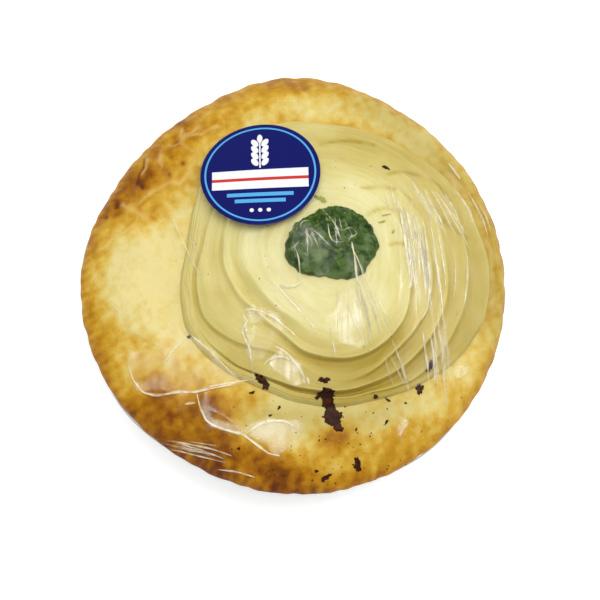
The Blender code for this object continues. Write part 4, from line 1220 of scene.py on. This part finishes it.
def lay_film(tree, x, y):
    """The film's height over each place, its milkiness with painted glare, how loose it hangs and where it lies level.
    """
    line, sheet, gap = taut_film(tree)
    height = read_grid(line, sheet, x, y)
    clear = read_grid(line, gap, x, y)
    haze_and_painted_glare = 0.008 * smoothstep(0.3 * MM, 2.0 * MM, clear)
    loose = 0.06 * smoothstep(0.8 * MM, 2.5 * MM, clear)
    level = np.zeros_like(x)
    wander_x, wander_y = 0.9 * MM * ripple(x, y, 9 * MM, 51), 0.9 * MM * ripple(x, y, 9 * MM, 52)
    for pocket, milk, lift, gloss in FILM_POCKETS:
        inward = in_pocket(x + 0.6 * wander_x, y + 0.6 * wander_y, pocket)
        uneven = np.clip(0.75 + 0.3 * ripple(x, y, 9 * MM, len(pocket)), 0.3, 1.2)
        within = smoothstep(-0.5 * MM, 0.7 * MM, inward)
        height += lift * MM * smoothstep(-0.5 * MM, 1.3 * MM, inward)
        level = np.maximum(level, within)
        loose = np.maximum(loose, gloss * uneven * within)
        # Painted glare: the pockets' milky white is partly the film's own haze and partly painted reflection
        haze_and_painted_glare = np.maximum(haze_and_painted_glare, milk * uneven * within)
    for path, rise, width in creases():
        away, along = from_line(x + 0.25 * wander_x, y + 0.25 * wander_y, path)
        crest = np.exp(-(away / width) ** 2) * np.sin(math.pi * np.clip(along, 0.04, 0.96)) ** 0.5
        height += rise * crest
        loose = np.maximum(loose, crest)
    under, across = sticker_under(x, y)
    pressed = smoothstep(1.16, 1.03, across)
    return height * (1 - pressed) + np.minimum(height, under - 0.12 * MM) * pressed, haze_and_painted_glare, loose, level


def film_skirt(angles, last):
    """The film's way past the rolled rim to the foot of the wall and in under the base.

    Each row has its radius, its height in millimetres and how deep its folds are.
    """
    rim = tin_rim_radius(angles)
    pie = around(PIE_OUTLINE, angles) * MM
    out = np.maximum(pie + 0.5 * MM, rim + 0.3 * MM)
    foot = TIN_BASE_RADIUS + 1.0 * MM
    rows = [(pie - 0.35 * MM, 0.6 * last + 0.4 * 27.2, 0.0), (out - 0.1 * MM, 27.2, 0.03), (out, 26.3, 0.05),
            (out - 0.05 * MM, 25.4, 0.06), (rim + 0.25 * MM, 24.6, 0.06), (rim + 0.1 * MM, 23.9, 0.06),
            (rim - 0.6 * MM, 22.9, 0.1)]
    for share in np.linspace(0.12, 1, 8):
        wall = rim - 0.9 * MM + (foot - rim + 0.9 * MM) * share
        rows.append((wall, 22.9 - 21.4 * share, 0.1 + 0.45 * share))
    rows += [(foot - 0.4 * MM, 0.5, 0.4), (foot - 1.6 * MM, 0.1, 0.2)]
    return rows + [(radius, 0.1, 0.3) for radius in (44 * MM, 34 * MM, 24 * MM, FILM_HOLE)]


def make_film(tree):
    """Builds the film on rings, from the middle of the mash out to the pastry's edge, down the tin and in."""
    columns = columns_of(FILM_COLUMNS)
    way = np.stack((np.cos(columns), np.sin(columns)), axis=1)
    reach, angles = film_edge(way)
    # The rings lie closest together over the mash, where the creases are
    even = np.linspace(0, 1, 400)
    density = 1 + 0.8 * smoothstep(0.12, 0.25, even) - 0.5 * smoothstep(0.72, 0.9, even)
    steps = np.interp(np.linspace(0.012, 1, FILM_ROWS), np.cumsum(density) / density.sum(), even)
    shares = np.repeat(steps[:, None], FILM_COLUMNS, axis=1)
    drawn_in = 1.2 * MM * smoothstep(0.75, 1, shares)
    x = MASH_MIDDLE[0] + way[:, 0] * reach * shares - np.cos(angles) * drawn_in
    y = MASH_MIDDLE[1] + way[:, 1] * reach * shares - np.sin(angles) * drawn_in
    height, haze_and_painted_glare, loose, level = lay_film(tree, x, y)
    rings = list(np.stack((x, y, height), axis=2))
    haze_and_glare_rows, looses, levels = list(haze_and_painted_glare), list(loose), list(level)
    folds = 0
    for count, phase, part in ((37, 0, 1.0), (53, 1, 0.7), (83, 2, 0.4)):
        folds = folds + np.clip(np.cos(count * angles + phase), -0.3, 1) * part
    for radius, up, fold in film_skirt(angles, height[-1] / MM):
        rings.append(ring(angles, radius + fold * MM * folds, up * MM))
        haze_and_glare_rows.append(np.full(FILM_COLUMNS, 0.12 * min(fold, 0.4)))
        looses.append(np.full(FILM_COLUMNS, min(1.0, 2.5 * fold)))
        levels.append(np.zeros(FILM_COLUMNS))
    film = ring_piece("film_sheet", rings[::-1], start_cap=False)
    for name, values in (("haze_and_painted_glare", haze_and_glare_rows), ("loose", looses), ("level", levels)):
        keep_attribute(film, name, values[::-1])
    thicken(film, FILM_THICKNESS)
    return settle(film, "clear_film_wrap")


def make_folds(tree):
    """Fine ridges of doubled film that stand on the sheet, thick in the middle and fading at both ends, painted white
    as highlights.
    """
    paths = [(width, white, np.asarray(path, float)) for width, white, path in FILM_FOLDS]
    draw = np.random.default_rng(23)
    for path, _, _ in creases():
        if len(path) == 3:
            paths.append((draw.uniform(0.3, 0.6), draw.uniform(0.3, 0.75), np.asarray(path, float)))
    angles = columns_of(8)
    lean = np.where(np.cos(angles) > 0, 0.75, 0.3)
    folds, painted_glints = [], []
    for width, white, path in paths:
        along = np.concatenate(([0], np.cumsum(np.hypot(*np.diff(path, axis=0).T))))
        at = np.linspace(0, along[-1], max(5, int(along[-1] / 0.5)))
        x, y = np.interp(at, along, path[:, 0]) * MM, np.interp(at, along, path[:, 1]) * MM
        for _ in range(3):
            x[1:-1], y[1:-1] = (x[:-2] + 2 * x[1:-1] + x[2:]) / 4, (y[:-2] + 2 * y[1:-1] + y[2:]) / 4
        z = heights_on(tree, x, y)
        run = np.stack((np.gradient(x), np.gradient(y)), axis=1)
        side = np.stack((-run[:, 1], run[:, 0]), axis=1) / np.hypot(*run.T)[:, None]
        fullness = np.sin(math.pi * np.linspace(0.03, 0.97, len(at))) ** 0.6 * (1 + 0.2 * np.cos(at * 0.9 + width * 40))
        patchy = np.clip(0.78 + 0.22 * np.cos(at * 0.8 + len(at)) + 0.12 * np.cos(at * 2.3 + 50 * width), 0.2, 1)
        rings, tones = [], []
        for px, py, pz, (sx, sy), full, patch in zip(x, y, z, side, fullness, patchy):
            across, up = width * lean * MM * full * np.cos(angles), 0.1 * width * MM * full * np.sin(angles)
            rings.append(np.stack((px + sx * across, py + sy * across, pz + 0.02 * MM + up), axis=1))
            # Painted highlight: white along the fold's top and underside, patchy along its length
            tones.append(white * patch * np.abs(np.sin(angles)) ** 1.3)
        folds.append(ring_piece("fold", rings))
        painted_glints.append(np.concatenate(tones + [[0, 0]]))
    piece = merged("film_folds", folds)
    painted_glints = np.concatenate(painted_glints)
    keep_attribute(piece, "haze_and_painted_glare", [painted_glints])
    keep_attribute(piece, "loose", [2.5 * painted_glints])
    return piece


def clear_film():
    """Polythene cling film: almost invisible where it touches the moist food, glossy where it hangs clear, milky with
    its haze and painted glare.
    """
    material = bpy.data.materials.new("clear_cling_film")
    material.use_nodes = True
    tree = material.node_tree
    tree.nodes.clear()
    place = add_node(tree, "ShaderNodeTexCoord").outputs["Object"]
    haze_and_painted_glare = add_node(tree, "ShaderNodeAttribute", attribute_name="haze_and_painted_glare").outputs["Fac"]
    stretched = add_node(tree, "ShaderNodeMapping", {
        "Vector": place, "Scale": (1.0, 0.16, 1.0), "Rotation": (0, 0, 0.2)})
    fine = add_node(tree, "ShaderNodeTexNoise", {"Vector": stretched, "Scale": 700, "Detail": 2})
    # A taut facet lies level, whatever the food under it does, and so it mirrors the light above
    level = add_node(tree, "ShaderNodeAttribute", attribute_name="level").outputs["Fac"]
    own = add_node(tree, "ShaderNodeNewGeometry").outputs["Normal"]
    turned = add_node(tree, "ShaderNodeMix", {0: level, 4: own, 5: (0, 0, 1)}, data_type="VECTOR")
    bump = add_node(tree, "ShaderNodeBump", {
        "Height": fine, "Strength": 0.5, "Distance": 0.05 * MM, "Normal": turned.outputs[1]})
    facing_camera = add_node(tree, "ShaderNodeLayerWeight", {"Blend": 0.5})
    grazing = add_node(tree, "ShaderNodeMath", {0: facing_camera.outputs["Facing"], 1: 5.0}, operation="POWER")
    mirror = add_node(tree, "ShaderNodeMath", {0: grazing, 1: 0.22, 2: 0.06}, operation="MULTIPLY_ADD")
    loose = add_node(tree, "ShaderNodeAttribute", attribute_name="loose").outputs["Fac"]
    loose = add_node(tree, "ShaderNodeMath", {0: loose, 1: 0.97, 2: 0.03}, operation="MULTIPLY_ADD")
    mirror = add_node(tree, "ShaderNodeMath", {0: mirror, 1: loose}, operation="MULTIPLY")
    # Where it hangs loose it shines, broken up by the pulls that run through it
    pulls = add_node(tree, "ShaderNodeMapping", {
        "Vector": place, "Scale": (1.0, 0.12, 0.3), "Rotation": (0, 0, -0.12)})
    pulls = add_node(tree, "ShaderNodeTexNoise", {"Vector": pulls, "Scale": 480, "Detail": 3})
    pulls = add_node(tree, "ShaderNodeMapRange", {
        "Value": pulls, "From Min": 0.35, "From Max": 0.65, "To Min": 0.35, "To Max": 1.5})
    mirror = add_node(tree, "ShaderNodeMath", {0: mirror, 1: pulls}, operation="MULTIPLY")
    see_through = add_node(tree, "ShaderNodeBsdfTransparent")
    gloss = add_node(tree, "ShaderNodeBsdfGlossy", {"Roughness": 0.13, "Normal": bump})
    film = add_node(tree, "ShaderNodeMixShader", {
        0: mirror, 1: see_through, 2: gloss})
    # The milky white: the film's own haze, with painted glare in the pockets and painted highlights on the folds
    mist = add_node(tree, "ShaderNodeTexNoise", {"Vector": place, "Scale": 260, "Detail": 4, "Roughness": 0.7})
    mist = add_node(tree, "ShaderNodeMapRange", {"Value": mist, "To Min": 0.55, "To Max": 1.25})
    milk = add_node(tree, "ShaderNodeMath", {0: haze_and_painted_glare, 1: mist}, operation="MULTIPLY")
    white = add_node(tree, "ShaderNodeBsdfDiffuse", {"Color": colour("#f9efc9")})
    surface = add_node(tree, "ShaderNodeMixShader", {0: milk, 1: film, 2: white})
    # The sheet has two faces a hair apart: only the outer one shows, or the film would look twice as thick
    inner = add_node(tree, "ShaderNodeNewGeometry").outputs["Backfacing"]
    surface = add_node(tree, "ShaderNodeMixShader", {0: inner, 1: surface, 2: see_through})
    add_node(tree, "ShaderNodeOutputMaterial", {"Surface": surface})
    return material


film = make_film(surface_tree(crust, mash, peas, marks))
cling = clear_film()
film.data.materials.append(cling)
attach(film, "root")
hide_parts("film_wrap")
folds = make_folds(surface_tree(film))
folds.data.materials.append(cling)
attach(folds, "root")


# The sticker is a round of coated paper, printed in flat inks and stuck on the film: a plain design of bands, a
# ring and an ear of wheat in the same blues, white and red.
STICKER_THICKNESS = 0.14 * MM
LABEL_BLUE = "#060f62"
# Each printed shape: its kind, its middle, its half sizes and its turn in degrees, as shares of the radius, and ink
LABEL_SHAPES = [
    ("round", (0, 0), (0.93, 0.93), 0, "#57aee6"), ("round", (0, 0), (0.90, 0.90), 0, LABEL_BLUE),
    ("bar", (0, -0.12), (0.80, 0.185), 0, "#f4f4f8"), ("bar", (0, -0.12), (0.80, 0.03), 0, "#d2382c"),
    ("bar", (0, -0.42), (0.55, 0.035), 0, "#57aee6"), ("bar", (0, -0.54), (0.42, 0.035), 0, "#57aee6"),
    ("bar", (0, 0.36), (0.012, 0.26), 0, "#f4f4f8"),
]
for step in range(4):
    for side in (-1, 1):
        LABEL_SHAPES.append(("round", (0.085 * side, 0.22 + 0.13 * step), (0.05, 0.085), -32 * side, "#f4f4f8"))
LABEL_SHAPES.append(("round", (0, 0.70), (0.045, 0.085), 0, "#f4f4f8"))
for step in range(3):
    LABEL_SHAPES.append(("round", (-0.14 + 0.14 * step, -0.72), (0.035, 0.035), 0, "#f4f4f8"))


def make_sticker():
    """Builds the sticker as a thin disc that sags over the mash, flat mapped for its print."""
    shares = np.concatenate((np.linspace(0.06, 0.94, 22), (0.98, 1.0)))
    angles = columns_of(144)
    low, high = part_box("sticker")
    middle = ((low[0] + high[0]) / 2, (low[1] + high[1]) / 2)
    rings = []
    for up, line in ((0.0, shares), (STICKER_THICKNESS, shares[::-1])):
        for share in line:
            points = ring(angles, STICKER_RADIUS * share, 0, middle)
            points[:, 2] = sticker_under(points[:, 0], points[:, 1])[0] + up
            points[:, 2] += 0.35 * MM * smoothstep(0.7, 1, share) * facing(angles, math.radians(200), 6)
            rings.append(points)
    sticker = ring_piece("round_sticker", rings)
    flat = sticker.data.uv_layers.new(name="UVMap")
    corners = np.zeros(len(sticker.data.loops), int)
    sticker.data.loops.foreach_get("vertex_index", corners)
    places = np.zeros(len(sticker.data.vertices) * 3)
    sticker.data.vertices.foreach_get("co", places)
    places = places.reshape(-1, 3)[corners]
    uv = (places[:, :2] - np.asarray(middle)) / STICKER_RADIUS
    flat.data.foreach_set("uv", uv.ravel())
    return sticker


def printed_paper():
    """Coated label paper under a gloss varnish: deep flat inks, with a mirror-like shine."""
    material, tree, shader = new_finish("varnished_label_paper")
    flat = add_node(tree, "ShaderNodeUVMap", uv_map="UVMap").outputs[0]
    ink = add_node(tree, "ShaderNodeRGB")
    ink.outputs[0].default_value = colour(LABEL_BLUE)
    printed = ink.outputs[0]
    for kind, middle, half, turn, hex_code in LABEL_SHAPES:
        local = add_node(tree, "ShaderNodeMapping", {
            "Vector": flat, "Location": (*middle, 0), "Rotation": (0, 0, math.radians(turn)),
            "Scale": (*half, 1)}, vector_type="TEXTURE")
        if kind == "round":
            away = add_node(tree, "ShaderNodeVectorMath", {0: local}, operation="LENGTH").outputs["Value"]
        else:
            sides = add_node(tree, "ShaderNodeVectorMath", {0: local}, operation="ABSOLUTE")
            sides = add_node(tree, "ShaderNodeSeparateXYZ", {0: sides})
            away = add_node(tree, "ShaderNodeMath", {
                0: sides.outputs["X"], 1: sides.outputs["Y"]}, operation="MAXIMUM").outputs[0]
        inside = add_node(tree, "ShaderNodeMath", {0: away, 1: 1.0}, operation="LESS_THAN")
        printed = add_node(tree, "ShaderNodeMix", {
            0: inside, 6: printed, 7: colour(hex_code)}, data_type="RGBA").outputs[2]
    place = add_node(tree, "ShaderNodeTexCoord").outputs["Object"]
    waves = add_node(tree, "ShaderNodeTexNoise", {"Vector": place, "Scale": 90, "Detail": 1})
    bump = add_node(tree, "ShaderNodeBump", {"Height": waves, "Strength": 0.1, "Distance": 0.3 * MM})
    fill_inputs(tree, shader, {
        "Base Color": printed, "Normal": bump, "Roughness": 0.4, "Specular IOR Level": 0.1, "Coat Weight": 0.2,
        "Coat Roughness": 0.08})
    return material


sticker = make_sticker()
sticker.data.materials.append(printed_paper())
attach(sticker, "root")
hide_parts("sticker")


# The floor, the light and the camera: a white sweep under a large soft box, with a narrow light on the right that
# draws out the film's creases, seen from above the near side.
CAMERA_PLACE = (-31.2 * MM, -129.5 * MM, 468.6 * MM)
CAMERA_NEAR_SIDE = math.radians(255)
CAMERA_ELEVATION = math.radians(74)
LENS_PIXELS = 1451
PHOTO_PIXELS = 600
SENSOR_WIDTH = 36
FLOOR_HALF_WIDTH = 2.0


def soft_light(name, place, size, power):
    """A soft box that faces the pie."""
    data = bpy.data.lights.new(name, "AREA")
    data.shape = "RECTANGLE"
    data.size, data.size_y = size
    data.energy = power
    light = put_in_scene(name, data)
    light.location = place
    light.rotation_euler = (Vector((0, 0, 0.03)) - Vector(place)).to_track_quat("-Z", "Y").to_euler()


def pale_paper():
    """White background paper, lit a little from behind so that it stays pale under the pie."""
    material, tree, shader = new_finish("white_paper_sweep")
    place = add_node(tree, "ShaderNodeTexCoord").outputs["Object"]
    tone = add_node(tree, "ShaderNodeTexNoise", {"Vector": place, "Scale": 3, "Detail": 2})
    ramp = add_node(tree, "ShaderNodeValToRGB", {"Fac": tone})
    fill_ramp(ramp, ((0.0, "#f4f4f3"), (1.0, "#f8f8f7")))
    fill_inputs(tree, shader, {"Base Color": ramp, "Emission Color": ramp, "Emission Strength": 0.45, "Roughness": 0.9})
    return material


corners = [(FLOOR_HALF_WIDTH * x, FLOOR_HALF_WIDTH * y, 0) for x, y in ((-1, -1), (1, -1), (1, 1), (-1, 1))]
floor = smooth_piece("floor", corners, [(0, 1, 2, 3)])
floor.data.materials.append(pale_paper())

soft_light("overhead_box", (0.0, 0.12, 1.20), (0.9, 0.7), 8.8)
soft_light("right_tube", (0.75, 0.15, 0.95), (0.06, 1.3), 2.2)
world = bpy.data.worlds.new("studio")
world.use_nodes = True
background = world.node_tree.nodes["Background"]
fill_inputs(world.node_tree, background, {"Color": colour("#f6f8fb"), "Strength": 0.5})
bpy.context.scene.world = world
bpy.context.scene.view_settings.view_transform = "Standard"

near = Vector((math.cos(CAMERA_NEAR_SIDE), math.sin(CAMERA_NEAR_SIDE), 0))
back = near * math.cos(CAMERA_ELEVATION) + Vector((0, 0, math.sin(CAMERA_ELEVATION)))
right = Vector((0, 1, 0)).cross(back).normalized()
up = back.cross(right)
lens = bpy.data.cameras.new("camera")
lens.sensor_width = SENSOR_WIDTH
lens.lens = LENS_PIXELS / PHOTO_PIXELS * SENSOR_WIDTH
lens.clip_start = 0.01
camera = put_in_scene("camera", lens)
camera.matrix_world = Matrix.Translation(CAMERA_PLACE) @ Matrix((right, up, back)).transposed().to_4x4()
bpy.context.scene.camera = camera
